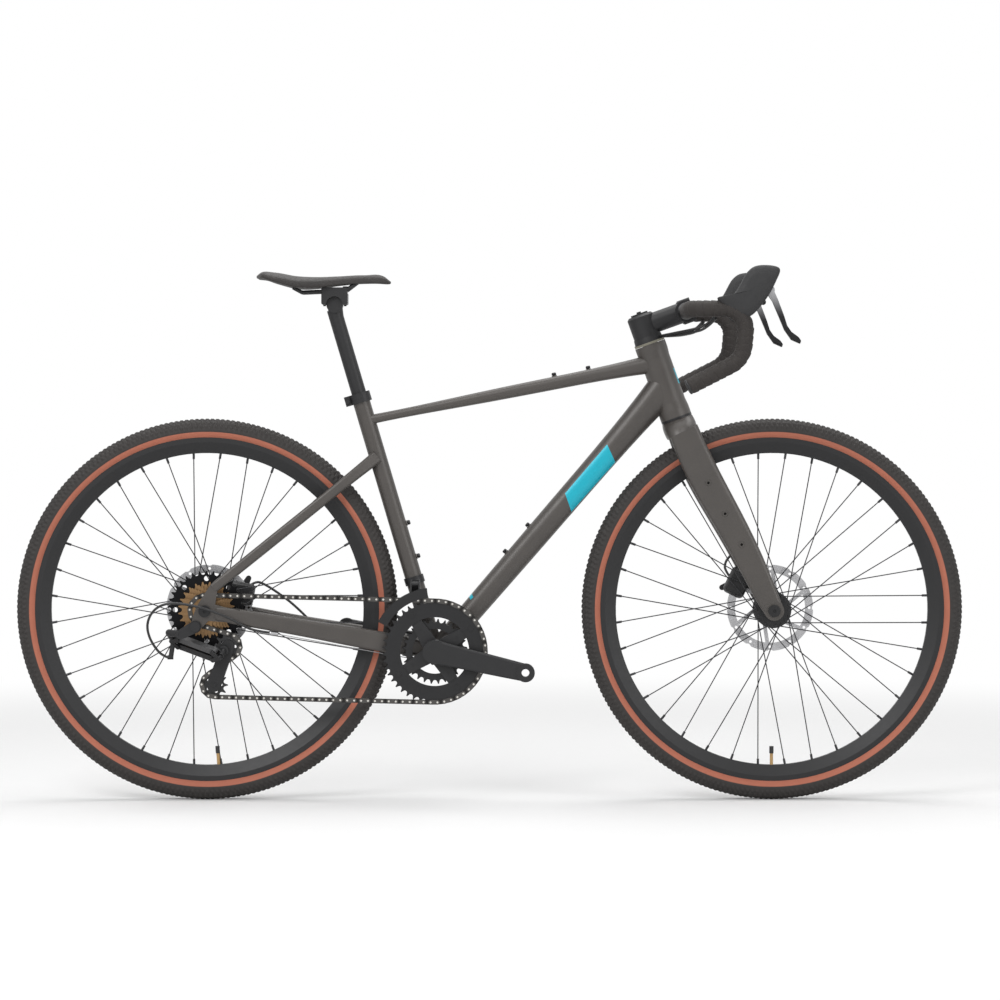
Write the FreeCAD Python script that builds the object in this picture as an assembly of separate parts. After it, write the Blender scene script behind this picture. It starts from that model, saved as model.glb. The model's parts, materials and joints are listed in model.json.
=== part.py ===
import FreeCAD, Part
import math
import os

# Gravel bike with a drop bar, disc brakes, a double chainset and a seven cog freewheel.
# Millimetres. +X is forward, +Z is up, the drive side is -Y. The origin is on the ground,
# midway between the two axles.

Vector = FreeCAD.Vector
X_AXIS = Vector(1, 0, 0)
Y_AXIS = Vector(0, 1, 0)
Z_AXIS = Vector(0, 0, 1)
full_turn_deg = 360
drive_side = -1
left_side = 1

# Driving dimensions of the whole bike
wheelbase = 1040.0
bead_seat_diameter = 622.0
tyre_width = 40.0
chainstay_length = 426.0
bb_drop = 75.0
head_angle_deg = 70.2
seat_angle_deg = 73.5
fork_offset = 46.5
axle_to_crown = 391.0
head_tube_length = 142.0
seat_tube_length = 490.0
crank_length = 170.0
chain_pitch = 12.7
front_hub_width = 100.0
rear_hub_width = 135.0
bb_shell_width = 68.0

# Shared clearances
run_clearance = 0.06
side_clearance = 0.4
skin_clearance = 0.3
cut_overrun = 2.0
cord_bend_share = 0.45

# Points and directions that every piece follows
wheel_radius = bead_seat_diameter / 2 + tyre_width
rear_axle_point = Vector(-wheelbase / 2, 0, wheel_radius)
front_axle_point = Vector(wheelbase / 2, 0, wheel_radius)
bb_point = rear_axle_point + Vector(math.sqrt(chainstay_length ** 2 - bb_drop ** 2), 0, -bb_drop)
steer_up = Vector(-math.cos(math.radians(head_angle_deg)), 0, math.sin(math.radians(head_angle_deg)))
steer_ahead = Vector(steer_up.z, 0, -steer_up.x)
seat_up = Vector(-math.cos(math.radians(seat_angle_deg)), 0, math.sin(math.radians(seat_angle_deg)))
seat_ahead = Vector(seat_up.z, 0, -seat_up.x)
steer_foot = front_axle_point - steer_ahead * fork_offset
crown_rise = math.sqrt(axle_to_crown ** 2 - fork_offset ** 2)
crown_point = steer_foot + steer_up * crown_rise


def unit(vector):
    """Same direction, length one."""
    return Vector(vector) / vector.Length


def rod(start, end, radius):
    """Round bar between two points."""
    axis = end - start
    return Part.makeCylinder(radius, axis.Length, start, axis)


def tube(start, end, radius, bore):
    """Round bar with a bore right through it."""
    axis = unit(end - start) * cut_overrun
    return rod(start, end, radius).cut(rod(start - axis, end + axis, bore))


def cross_bar(centre, half_length, radius):
    """Round bar across the bike, centred on a point."""
    return rod(centre - Y_AXIS * half_length, centre + Y_AXIS * half_length, radius)


def lathe(profile, centre, axis):
    """Turned solid: a closed profile of (along, radius) pairs spun about an axis."""
    side = unit(axis.cross(X_AXIS + Y_AXIS + Z_AXIS))
    points = [centre + axis * along + side * radius for along, radius in profile]
    face = Part.Face(Part.makePolygon(points + points[:1]))
    return face.revolve(centre, axis, full_turn_deg)


def turned_about(shape, centre, axis, angle_deg):
    """Copy of a shape, turned about an axis."""
    copy = shape.copy()
    copy.rotate(centre, axis, angle_deg)
    return copy


def corner_arcs(points, radii, closed):
    """Edges of a path whose corners are tangent arcs."""
    count = len(points)
    order = range(count) if closed else range(1, count - 1)
    entries = {}
    edges = []
    for index in order:
        corner = points[index]
        before = unit(points[index - 1] - corner)
        after = unit(points[(index + 1) % count] - corner)
        turn = math.pi - before.getAngle(after)
        reach = radii[index] * math.tan(turn / 2)
        first = corner + before * reach
        last = corner + after * reach
        inward = unit(before + after)
        middle = corner + inward * (radii[index] / math.cos(turn / 2) - radii[index])
        entries[index] = (first, middle, last)
    ends = list(range(count)) + ([0] if closed else [])
    for here, there in zip(ends, ends[1:]):
        start = entries[here][2] if here in entries else points[here]
        finish = entries[there][0] if there in entries else points[there]
        edges.append(Part.LineSegment(start, finish).toShape())
        if there in entries:
            edges.append(Part.Arc(*entries[there]).toShape())
    return edges


def rounded_face(points, radius):
    """Flat face whose corners all have one radius."""
    return Part.Face(Part.Wire(corner_arcs(points, [radius] * len(points), True)))


def cord(points, radius):
    """Flexible cord along a route, every bend as large as its two runs allow."""
    radii = [0] * len(points)
    for index in range(1, len(points) - 1):
        before = points[index] - points[index - 1]
        after = points[index + 1] - points[index]
        turn = before.getAngle(after)
        radii[index] = cord_bend_share * min(before.Length, after.Length) / math.tan(turn / 2)
    return bent_bar(points, radii, radius)


def bent_bar(points, radii, radius):
    """Round bar along straight runs joined by tangent arcs."""
    path = Part.Wire(corner_arcs(points, radii, False))
    start = unit(points[1] - points[0])
    section = Part.Wire(Part.Circle(points[0], start, radius).toShape())
    return path.makePipeShell([section], True, True)


def rounded_section(centre, across, along, width, height, corner_share):
    """Closed section of four sides and four corner arcs, for lofts."""
    corner = corner_share * min(width, height) / 2
    points = [
        centre + across * (width / 2) + along * (height / 2),
        centre - across * (width / 2) + along * (height / 2),
        centre - across * (width / 2) - along * (height / 2),
        centre + across * (width / 2) - along * (height / 2),
    ]
    return Part.Wire(corner_arcs(points, [corner] * len(points), True))


def loft(sections, ruled=False):
    """Solid through a row of sections."""
    return Part.makeLoft(sections, True, ruled)


def plate(points_xz, near_y, thickness, radius):
    """Flat plate parallel to the wheels, with rounded corners."""
    points = [Vector(x, near_y, z) for x, z in points_xz]
    return rounded_face(points, radius).extrude(Y_AXIS * thickness)


def joined(shapes):
    """One solid from pieces that overlap or meet."""
    return shapes[0].multiFuse(shapes[1:]).removeSplitter()


def strap_face(first, first_radius, second, second_radius):
    """Flat face, parallel to the wheels, round two circles and the tangents between them."""
    ahead = unit(second - first)
    side = unit(ahead.cross(Y_AXIS))
    lean = math.acos((first_radius - second_radius) / (second - first).Length)
    upper = ahead * math.cos(lean) + side * math.sin(lean)
    lower = ahead * math.cos(lean) - side * math.sin(lean)
    corners = [
        first + upper * first_radius, second + upper * second_radius,
        second + lower * second_radius, first + lower * first_radius,
    ]
    edges = [
        Part.LineSegment(corners[0], corners[1]).toShape(),
        Part.Arc(corners[1], second + ahead * second_radius, corners[2]).toShape(),
        Part.LineSegment(corners[2], corners[3]).toShape(),
        Part.Arc(corners[3], first - ahead * first_radius, corners[0]).toShape(),
    ]
    return Part.Face(Part.Wire(edges))


def strap(first, first_radius, second, second_radius, thickness):
    """Flat bar with two round ends, its thickness along +Y."""
    return strap_face(first, first_radius, second, second_radius).extrude(Y_AXIS * thickness)


def disc(centre, radius, thickness):
    """Flat round plate, its thickness along +Y."""
    return Part.makeCylinder(radius, thickness, centre, Y_AXIS)


# Wheels: tyre, rim, spokes, hub, disc rotor and inner tube
tyre_wall = 2.2
tread_depth = 1.6
rim_outer_width = 26.0
rim_wall = 1.5
rim_flange_height = 5.5
rim_depth = 29.0
rim_well_depth = 5.0
rim_bed_width = 9.0
rim_shoulder_depth = 9.0
spoke_count = 36
spoke_cross_count = 3
spoke_diameter = 2.0
spoke_dish = 2.4
spoke_hole_clearance = 0.15
spoke_groove_length = 26.0
nipple_diameter = 4.4
nipple_length = 11.0
inner_tube_wall = 1.0
valve_radius = 3.0
valve_length = 34.0
valve_cap_radius = 4.0
valve_cap_length = 13.0
valve_hole_clearance = 0.25
front_valve_deg = -90.0
rear_valve_deg = -86.0
axle_radius = 6.0
flange_thickness = 3.2
flange_rim = 4.5
front_flange_pcd = 58.0
rear_flange_pcd = 58.0
front_flange_right = -34.0
front_flange_left = 24.0
rear_flange_right = -15.0
rear_flange_left = 34.0
hub_barrel_radius = 17.0
hub_nose_radius = 10.5
rotor_radius = 80.0
rotor_thickness = 1.8
rotor_track = 15.0
rotor_carrier_radius = 27.0
rotor_arm_count = 6
rotor_arm_width = 7.0
rotor_slant_share = 0.45
rotor_scallop_shares = (0.0, 0.5)
rotor_scallop_radius = 7.5
rotor_scallop_depth = 2.2
rotor_hole_radius = 2.6
rotor_bolt_circle = 22.0
rotor_bolt_radius = 3.4
rotor_bolt_height = 2.4
front_rotor_y = 40.5
rear_rotor_y = 53.0
freewheel_boss_radius = 17.0
freewheel_boss_end = -58.0

bead_radius = bead_seat_diameter / 2
rim_bed_radius = bead_radius + rim_flange_height - rim_depth
tube_section_radius = tyre_width / 2


def make_tyre():
    """Open tyre carcass round the origin: a C section spun about the axle line."""
    centre_radius = bead_radius + tube_section_radius
    bead_y = rim_outer_width / 2 - rim_wall - skin_clearance
    inner_radius = tube_section_radius - tyre_wall
    crown_radius = inner_radius - tread_depth

    def point(y, radius):
        return Vector(0, y, radius)

    outer_foot = centre_radius - math.sqrt(tube_section_radius ** 2 - bead_y ** 2)
    inner_y = bead_y - tyre_wall
    inner_foot = centre_radius - math.sqrt(crown_radius ** 2 - inner_y ** 2)
    outer = Part.Arc(point(bead_y, outer_foot), point(0, wheel_radius), point(-bead_y, outer_foot))
    inner = Part.Arc(point(-inner_y, inner_foot), point(0, centre_radius + crown_radius), point(inner_y, inner_foot))
    edges = [
        outer.toShape(),
        Part.LineSegment(point(-bead_y, outer_foot), point(-inner_y, inner_foot)).toShape(),
        inner.toShape(),
        Part.LineSegment(point(inner_y, inner_foot), point(bead_y, outer_foot)).toShape(),
    ]
    return Part.Face(Part.Wire(edges)).revolve(Vector(0, 0, 0), Y_AXIS, full_turn_deg)


def make_rim():
    """Double wall rim with a tyre well, a hollow chamber and a hole for the valve."""
    half = rim_outer_width / 2
    flange = bead_radius + rim_flange_height
    channel = half - rim_wall
    well = bead_radius - rim_well_depth
    floor = well - rim_wall
    shoulder = flange - rim_shoulder_depth
    bed = rim_bed_width / 2
    outline = [
        (half, flange), (channel, flange), (channel, bead_radius - rim_wall),
        (bed, well), (-bed, well), (-channel, bead_radius - rim_wall),
        (-channel, flange), (-half, flange), (-half, shoulder),
        (-bed, rim_bed_radius), (bed, rim_bed_radius), (half, shoulder),
    ]
    chamber_foot = rim_bed_radius + rim_wall
    chamber_bed = bed - rim_wall / 2
    chamber_side = channel - rim_wall
    chamber_top = bead_radius - rim_wall * 2
    chamber = [
        (chamber_bed, floor), (chamber_side, chamber_top - rim_wall), (chamber_side, shoulder),
        (chamber_bed, chamber_foot), (-chamber_bed, chamber_foot),
        (-chamber_side, shoulder), (-chamber_side, chamber_top - rim_wall), (-chamber_bed, floor),
    ]
    origin = Vector(0, 0, 0)
    rim = lathe(outline, origin, Y_AXIS).cut(lathe(chamber, origin, Y_AXIS))
    hole_radius = valve_radius + valve_hole_clearance
    hole = rod(X_AXIS * (rim_bed_radius - cut_overrun), X_AXIS * bead_radius, hole_radius)
    return rim.cut(hole)


def make_inner_tube():
    """Inflated inner tube in the tyre, with the valve that stands through the rim."""
    centre_radius = bead_radius + tube_section_radius
    section = tube_section_radius - tyre_wall - tread_depth - skin_clearance
    ring = Part.makeTorus(centre_radius, section, Vector(0, 0, 0), Y_AXIS)
    air = Part.makeTorus(centre_radius, section - inner_tube_wall, Vector(0, 0, 0), Y_AXIS)
    valve_root = centre_radius - section + inner_tube_wall / 2
    stem_end = rim_bed_radius - valve_length
    stem = rod(X_AXIS * valve_root, X_AXIS * stem_end, valve_radius)
    cap = rod(X_AXIS * (stem_end + valve_cap_length), X_AXIS * stem_end, valve_cap_radius)
    return joined([ring.cut(air), stem, cap])


def flange_places():
    """Hole numbers of one flange with the sense in which each spoke leaves it."""
    return [(index, 1 if index % 2 == 0 else -1) for index in range(spoke_count // 2)]


def spoke_lines(flange_right, flange_left, flange_pcd):
    """Three cross lacing: head, elbow and rim end of each spoke, with the sense of its elbow."""
    step_deg = full_turn_deg / (spoke_count // 2)
    sweep_deg = spoke_cross_count * step_deg
    lines = []
    for flange_y, side, shift_share in ((flange_right, drive_side, 0), (flange_left, left_side, 0.5)):
        for index, sense in flange_places():
            hub_deg = (index + shift_share) * step_deg
            rim_deg = hub_deg + sense * sweep_deg + step_deg / 4
            stand = sense * (flange_thickness / 2 + spoke_diameter / 2)
            foot = on_wheel(hub_deg, flange_pcd / 2, flange_y + stand)
            head = foot - Y_AXIS * (2 * stand + sense * spoke_diameter / 2)
            tip = on_wheel(rim_deg, rim_bed_radius + spoke_diameter / 2, side * spoke_dish)
            lines.append((head, foot, tip, sense))
    return lines


def make_spokes(lines):
    """Spokes, each with its elbow through the flange and its nipple at the rim."""
    radius = spoke_diameter / 2
    spokes = []
    for head, foot, tip, sense in lines:
        nipple_end = tip + unit(foot - tip) * nipple_length
        elbow = rod(head, foot, radius)
        knee = Part.makeSphere(radius, foot)
        button = rod(head, head + Y_AXIS * (sense * radius), spoke_diameter)
        nipple = rod(tip, nipple_end, nipple_diameter / 2)
        spokes.append(joined([rod(foot, tip, radius), knee, elbow, button, nipple]))
    return Part.makeCompound(spokes)


def with_spoke_holes(hub, lines):
    """Hub drilled for its spokes, with a groove where a spoke lies over the flange's edge."""
    radius = spoke_diameter / 2 + spoke_hole_clearance
    for head, foot, tip, sense in lines:
        button_end = head + Y_AXIS * (sense * (radius + spoke_hole_clearance))
        hub = hub.cut(rod(head, foot, radius)).cut(Part.makeSphere(radius, foot))
        hub = hub.cut(rod(head, button_end, spoke_diameter + spoke_hole_clearance))
        hub = hub.cut(rod(foot, foot + unit(tip - foot) * spoke_groove_length, radius))
    return hub


def on_wheel(angle_deg, radius, y):
    """Point of a wheel about the origin: the angle runs from +X towards +Z."""
    angle = math.radians(angle_deg)
    return Vector(radius * math.cos(angle), y, radius * math.sin(angle))


def make_hub(flange_right, flange_left, flange_pcd, hub_width, rotor_y, boss_end):
    """Hub barrel with two flanges, a rotor seat and a bore for the axle."""
    half = flange_thickness / 2
    rim = flange_pcd / 2 + flange_rim
    bore = axle_radius + run_clearance
    end = hub_width / 2 - side_clearance
    seat = rotor_y - rotor_thickness / 2
    right_radius = freewheel_boss_radius if boss_end else hub_barrel_radius
    right_end = boss_end if boss_end else flange_right - flange_thickness * 2
    profile = [
        (-end, bore), (-end, hub_nose_radius), (right_end, hub_nose_radius),
        (right_end, right_radius), (flange_right - half, right_radius),
        (flange_right - half, rim), (flange_right + half, rim),
        (flange_right + flange_thickness * 2, hub_barrel_radius),
        (flange_left - flange_thickness * 2, hub_barrel_radius),
        (flange_left - half, rim), (flange_left + half, rim),
        (flange_left + half, rotor_carrier_radius), (seat, rotor_carrier_radius),
        (seat, hub_nose_radius), (end, hub_nose_radius), (end, bore),
    ]
    return lathe(profile, Vector(0, 0, 0), Y_AXIS)


def make_rotor(rotor_y):
    """Disc rotor: a scalloped braking track on slanted arms, six bolts and a carrier ring."""
    thick = rotor_thickness
    origin = Y_AXIS * (rotor_y - thick / 2)
    back = origin - Y_AXIS * cut_overrun
    over = thick + 2 * cut_overrun
    track = Part.makeCylinder(rotor_radius, thick, origin, Y_AXIS)
    track = track.cut(Part.makeCylinder(rotor_radius - rotor_track, over, back, Y_AXIS))
    carrier = Part.makeCylinder(rotor_carrier_radius, thick, origin, Y_AXIS)
    carrier = carrier.cut(Part.makeCylinder(hub_nose_radius + skin_clearance, over, back, Y_AXIS))
    step_deg = full_turn_deg / rotor_arm_count
    pieces = [track, carrier]
    cuts = []
    bolts = []
    for index in range(rotor_arm_count):
        inner = on_wheel(index * step_deg, rotor_carrier_radius - rotor_arm_width / 2, origin.y)
        outer = on_wheel((index + rotor_slant_share) * step_deg, rotor_radius - rotor_track / 2, origin.y)
        across = unit(Y_AXIS.cross(outer - inner)) * (rotor_arm_width / 2)
        corners = [inner - across, outer - across, outer + across, inner + across]
        arm = Part.Face(Part.makePolygon(corners + corners[:1])).extrude(Y_AXIS * thick)
        pieces.append(arm)
        for share in rotor_scallop_shares:
            reach = rotor_radius + rotor_scallop_radius - rotor_scallop_depth
            notch = on_wheel((index + share) * step_deg, reach, back.y)
            cuts.append(Part.makeCylinder(rotor_scallop_radius, over, notch, Y_AXIS))
            vent = on_wheel((index + share) * step_deg, rotor_radius - rotor_track / 2, back.y)
            cuts.append(Part.makeCylinder(rotor_hole_radius, over, vent, Y_AXIS))
        seat = on_wheel((index + rotor_slant_share) * step_deg, rotor_bolt_circle, origin.y + thick)
        bolts.append(Part.makeCylinder(rotor_bolt_radius, rotor_bolt_height, seat, Y_AXIS))
    disc = joined(pieces).cut(Part.makeCompound(cuts))
    return Part.makeCompound([disc] + bolts)


def wheel_parts(name, axle_point, valve_deg, sizes):
    """All pieces of one wheel, turned to its valve and set on its axle."""
    flange_right, flange_left, flange_pcd, hub_width, rotor_y, boss_end = sizes
    valve_ring = (make_rim(), make_inner_tube())
    turned = [turned_about(shape, Vector(0, 0, 0), Y_AXIS, -valve_deg) for shape in valve_ring]
    lines = spoke_lines(flange_right, flange_left, flange_pcd)
    hub = make_hub(flange_right, flange_left, flange_pcd, hub_width, rotor_y, boss_end)
    pieces = {
        name + "_tyre": make_tyre().cut(turned[0]),
        name + "_rim": turned[0],
        name + "_inner_tube": turned[1],
        name + "_spokes": make_spokes(lines).cut(turned[0]),
        name + "_hub": with_spoke_holes(hub, lines),
        name + "_rotor": make_rotor(rotor_y),
    }
    for shape in pieces.values():
        shape.translate(axle_point)
    return pieces


front_wheel_sizes = (
    front_flange_right, front_flange_left, front_flange_pcd, front_hub_width, front_rotor_y, 0,
)
rear_wheel_sizes = (
    rear_flange_right, rear_flange_left, rear_flange_pcd, rear_hub_width, rear_rotor_y, freewheel_boss_end,
)


# Frame tubes, their bosses and what is pressed into them
headset_gap = 4.5
head_tube_radius = 27.5
head_rim_radius = 29.0
head_rim_height = 14.0
head_flare_height = 14.0
head_bore = 22.0
steerer_radius = 14.3
bearing_height = 11.0
crown_race_gap = 0.4
seat_tube_radius = 15.9
seatpost_radius = 13.6
seat_bore_floor = 262.0
seat_slot_width = 3.0
seat_slot_length = 30.0
seat_slot_end_radius = 3.0
bb_shell_radius = 21.0
bb_bore = 17.4
bb_cup_depth = 14.0
bb_flange_radius = 21.0
bb_flange_width = 3.5
spindle_radius = 12.0
top_tube_seat_along = 441.0
top_tube_head_drop = 36.0
top_tube_heights = (18.0, 20.5, 24.0, 27.5, 37.0)
top_tube_widths = (27.0, 31.0, 35.0, 38.0, 44.0)
top_tube_shares = (0.0, 0.35, 0.65, 0.86, 1.0)
down_tube_head_drop = 82.0
down_tube_bb_offset = 7.0
down_tube_heights = (41.0, 42.5, 45.0, 49.0, 62.0)
down_tube_widths = (44.0, 45.0, 46.0, 48.0, 52.0)
down_tube_shares = (0.0, 0.25, 0.55, 0.82, 1.0)
tube_corner_share = 0.86
boss_radius = 5.0
boss_height = 1.6
boss_hole_radius = 2.5
boss_hole_depth = 12.0
bottle_boss_pitch = 64.0
seat_boss_along = 175.0
down_boss_along = 227.0
top_boss_along = 354.0
chainstay_shares = (0.0, 0.08, 0.2, 0.45, 0.75, 0.95)
chainstay_ys = (22.0, 26.0, 35.0, 46.0, 60.0, 70.0)
chainstay_heights = (29.0, 33.0, 36.5, 34.0, 30.0, 25.0)
chainstay_widths = (18.0, 17.0, 16.0, 16.0, 15.0, 12.0)
chainstay_bridge_share = 0.1
chainstay_bridge_radius = 7.0
seatstay_along = 372.0
seatstay_foot_x = 16.0
seatstay_foot_z = 42.0
seatstay_shares = (0.0, 0.07, 0.18, 0.5, 0.8, 1.0)
seatstay_ys = (12.0, 22.0, 35.0, 49.0, 62.0, 69.5)
seatstay_heights = (24.0, 22.0, 20.0, 19.0, 19.0, 18.0)
seatstay_widths = (16.0, 15.0, 14.0, 13.0, 13.0, 12.0)
seatstay_bridge_share = 0.09
seatstay_bridge_radius = 6.0
stay_corner_share = 0.8
dropout_thickness = 6.0
dropout_radius = 17.0
dropout_arm_radius = 12.0
dropout_stay_radius = 8.0
dropout_stay_share = 0.88
hanger_x = -16.6
hanger_z = -28.0
hanger_radius = 10.0
hanger_hole_radius = 5.0
axle_head_radius = 11.0
axle_head_height = 5.0
axle_nut_radius = 9.0
clamp_wall = 4.0
clamp_height = 18.0
clamp_rise = 3.0
clamp_ear_length = 9.0
clamp_ear_width = 13.0
clamp_bolt_radius = 2.5
clamp_bolt_head_radius = 4.2
clamp_bolt_head_height = 4.5
clamp_lip_gap = 0.5

head_bottom = crown_point + steer_up * headset_gap
head_top = head_bottom + steer_up * head_tube_length
seat_top = bb_point + seat_up * seat_tube_length
top_tube_start = bb_point + seat_up * top_tube_seat_along
top_tube_end = head_top - steer_up * top_tube_head_drop
top_tube_run = unit(top_tube_end - top_tube_start)
down_tube_start = bb_point - Z_AXIS * down_tube_bb_offset
down_tube_end = head_top - steer_up * down_tube_head_drop
down_tube_run = unit(down_tube_end - down_tube_start)
chainstay_run = rear_axle_point - bb_point
seatstay_start = bb_point + seat_up * seatstay_along
seatstay_foot = rear_axle_point + Vector(seatstay_foot_x, 0, seatstay_foot_z)
seatstay_run = seatstay_foot - seatstay_start
dropout_inner_y = rear_hub_width / 2


def share_point(start, end, share):
    """Point at a share of the way between two points."""
    return start + (end - start) * share


def tapered_tube(start, end, shares, heights, widths):
    """Shaped frame tube in the middle plane: a loft through rounded sections."""
    upright = unit((end - start).cross(Y_AXIS)) * -1
    sections = []
    for share, height, width in zip(shares, heights, widths):
        centre = share_point(start, end, share)
        sections.append(rounded_section(centre, Y_AXIS, upright, width, height, tube_corner_share))
    return loft(sections)


def head_blank():
    """Head tube without its bore."""
    length = head_tube_length
    flare = head_rim_height + head_flare_height
    profile = [
        (0, 0), (0, head_rim_radius), (head_rim_height, head_rim_radius), (flare, head_tube_radius),
        (length - flare, head_tube_radius), (length - head_rim_height, head_rim_radius),
        (length, head_rim_radius), (length, 0),
    ]
    return lathe(profile, head_bottom, steer_up)


def make_head_tube():
    """Head tube, open right through for the steerer and its bearings."""
    over = steer_up * cut_overrun
    return head_blank().cut(rod(head_bottom - over, head_top + over, head_bore))


def bosses(points, outward):
    """Rivet nuts on a tube: raised rims and their holes, as two groups."""
    foot = outward * boss_hole_depth
    rims = [rod(point - foot, point + outward * boss_height, boss_radius) for point in points]
    mouth = outward * (boss_height + cut_overrun)
    holes = [rod(point - foot, point + mouth, boss_hole_radius) for point in points]
    return rims, holes


def with_bosses(shape, points, outward):
    """Tube with rivet nuts set into it."""
    rims, holes = bosses(points, outward)
    return joined([shape] + rims).cut(Part.makeCompound(holes))


def down_boss_points():
    """Mouths of the two bottle bosses on the down tube's upper face."""
    up = unit(down_tube_run.cross(Y_AXIS))
    height = tube_height_at(down_boss_along, (down_tube_end - down_tube_start).Length,
                            down_tube_shares, down_tube_heights)
    first = down_tube_start + down_tube_run * down_boss_along + up * (height / 2)
    return [first, first + down_tube_run * bottle_boss_pitch], up


def top_boss_points():
    """Mouths of the two bag bosses on the top tube's upper face."""
    up = unit(top_tube_run.cross(Y_AXIS))
    height = tube_height_at(top_boss_along, (top_tube_end - top_tube_start).Length,
                            top_tube_shares, top_tube_heights)
    first = top_tube_start + top_tube_run * top_boss_along + up * (height / 2)
    return [first, first + top_tube_run * bottle_boss_pitch], up


def seat_boss_points():
    """Mouths of the two bottle bosses on the seat tube's front."""
    first = bb_point + seat_up * seat_boss_along + seat_ahead * seat_tube_radius
    return [first, first + seat_up * bottle_boss_pitch], seat_ahead


def tube_height_at(along, length, shares, heights):
    """Height of a shaped tube at a distance along it."""
    share = along / length
    for low, high, first, second in zip(shares, shares[1:], heights, heights[1:]):
        if low <= share <= high:
            return first + (second - first) * (share - low) / (high - low)
    return heights[-1]


def bb_blank():
    """Bottom bracket shell without its bore."""
    return cross_bar(bb_point, bb_shell_width / 2, bb_shell_radius)


def seat_blank():
    """Seat tube without its bore."""
    return rod(bb_point, seat_top, seat_tube_radius)


def make_top_tube():
    """Top tube, mitred to the seat tube and the head tube."""
    tube_shape = tapered_tube(top_tube_start, top_tube_end, top_tube_shares, top_tube_heights, top_tube_widths)
    points, outward = top_boss_points()
    return with_bosses(tube_shape.cut(head_blank()).cut(seat_blank()), points, outward)


def make_down_tube():
    """Down tube, mitred to the bottom bracket, the head tube, the seat tube and the top tube."""
    shape = tapered_tube(down_tube_start, down_tube_end, down_tube_shares, down_tube_heights, down_tube_widths)
    top = tapered_tube(top_tube_start, top_tube_end, top_tube_shares, top_tube_heights, top_tube_widths)
    shape = shape.cut(head_blank()).cut(bb_blank()).cut(seat_blank()).cut(top)
    points, outward = down_boss_points()
    return with_bosses(max(shape.Solids, key=lambda solid: solid.Volume), points, outward)


def make_seat_tube():
    """Seat tube with the seatpost's bore, a clamping slot and two bottle bosses."""
    points, outward = seat_boss_points()
    shape = with_bosses(seat_blank().cut(bb_blank()), points, outward)
    over = seat_up * cut_overrun
    bore = rod(bb_point + seat_up * seat_bore_floor, seat_top + over, seatpost_radius + run_clearance)
    slot_foot = seat_top - seat_up * seat_slot_length
    rear = seat_ahead * -(seat_tube_radius + cut_overrun)
    across = Y_AXIS * (seat_slot_width / 2)
    corners = [slot_foot - across, slot_foot + across, seat_top + over + across, seat_top + over - across]
    slot = Part.Face(Part.makePolygon(corners + corners[:1])).extrude(rear)
    relief = rod(slot_foot, slot_foot + rear, seat_slot_end_radius)
    return shape.cut(Part.makeCompound([bore])).cut(slot).cut(relief)


def make_bb_shell():
    """Bottom bracket shell."""
    return bb_blank().cut(cross_bar(bb_point, bb_shell_width, bb_bore))


def stay(start, run, shares, ys, heights, widths, side):
    """One stay: a loft from the middle of the bike out to its dropout."""
    upright = unit(run.cross(Y_AXIS))
    upright = upright if upright.z > 0 else upright * -1
    sections = []
    for share, y, height, width in zip(shares, ys, heights, widths):
        centre = start + run * share + Y_AXIS * (side * y)
        sections.append(rounded_section(centre, Y_AXIS, upright, width, height, stay_corner_share))
    return loft(sections)


def stay_pair(start, run, table, bridge_share, bridge_radius, others):
    """Both stays and the bridge between them, mitred to the tubes that they join."""
    shares, ys, heights, widths = table
    sides = (drive_side, left_side)
    stays = [stay(start, run, shares, ys, heights, widths, side) for side in sides]
    bridge_y = tube_height_at(bridge_share, 1, shares, ys)
    bridge = cross_bar(start + run * bridge_share, bridge_y, bridge_radius)
    shape = joined(stays + [bridge])
    for other in others:
        shape = shape.cut(other)
    return Part.makeCompound([solid for solid in shape.Solids if solid.Volume > bridge_radius ** 3])


def stay_slots(end, run, reach, height):
    """Slots at the ends of both stays that the dropouts' arms sit in."""
    along = unit(run)
    upright = along.cross(Y_AXIS)
    slots = []
    for side in (drive_side, left_side):
        near_y = dropout_inner_y if side == left_side else -dropout_inner_y - dropout_thickness
        foot = end - along * reach - upright * height + Y_AXIS * near_y
        corners = [foot, foot + upright * (height * 2), foot + Y_AXIS * dropout_thickness + upright * (height * 2),
                   foot + Y_AXIS * dropout_thickness]
        slots.append(Part.Face(Part.makePolygon(corners + corners[:1])).extrude(run))
    return Part.makeCompound(slots)


def make_dropouts():
    """Left and right dropouts: axle holes, arms to both stays and the derailleur hanger."""
    pieces = []
    for side in (drive_side, left_side):
        near_y = dropout_inner_y if side == left_side else -dropout_inner_y - dropout_thickness
        axle = rear_axle_point + Y_AXIS * near_y
        foot = seatstay_foot + Y_AXIS * near_y
        stay_end = bb_point + chainstay_run * dropout_stay_share + Y_AXIS * near_y
        arms = [
            strap(axle, dropout_radius, foot, dropout_stay_radius, dropout_thickness),
            strap(axle, dropout_radius, stay_end, dropout_arm_radius, dropout_thickness),
        ]
        holes = [cross_bar(rear_axle_point, rear_hub_width, axle_radius)]
        if side == drive_side:
            hanger = axle + Vector(hanger_x, 0, hanger_z)
            arms.append(strap(axle, dropout_radius, hanger, hanger_radius, dropout_thickness))
            holes.append(cross_bar(hanger, rear_hub_width / 2, hanger_hole_radius))
        pieces.append(joined(arms).cut(Part.makeCompound(holes)))
    return Part.makeCompound(pieces)


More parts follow.
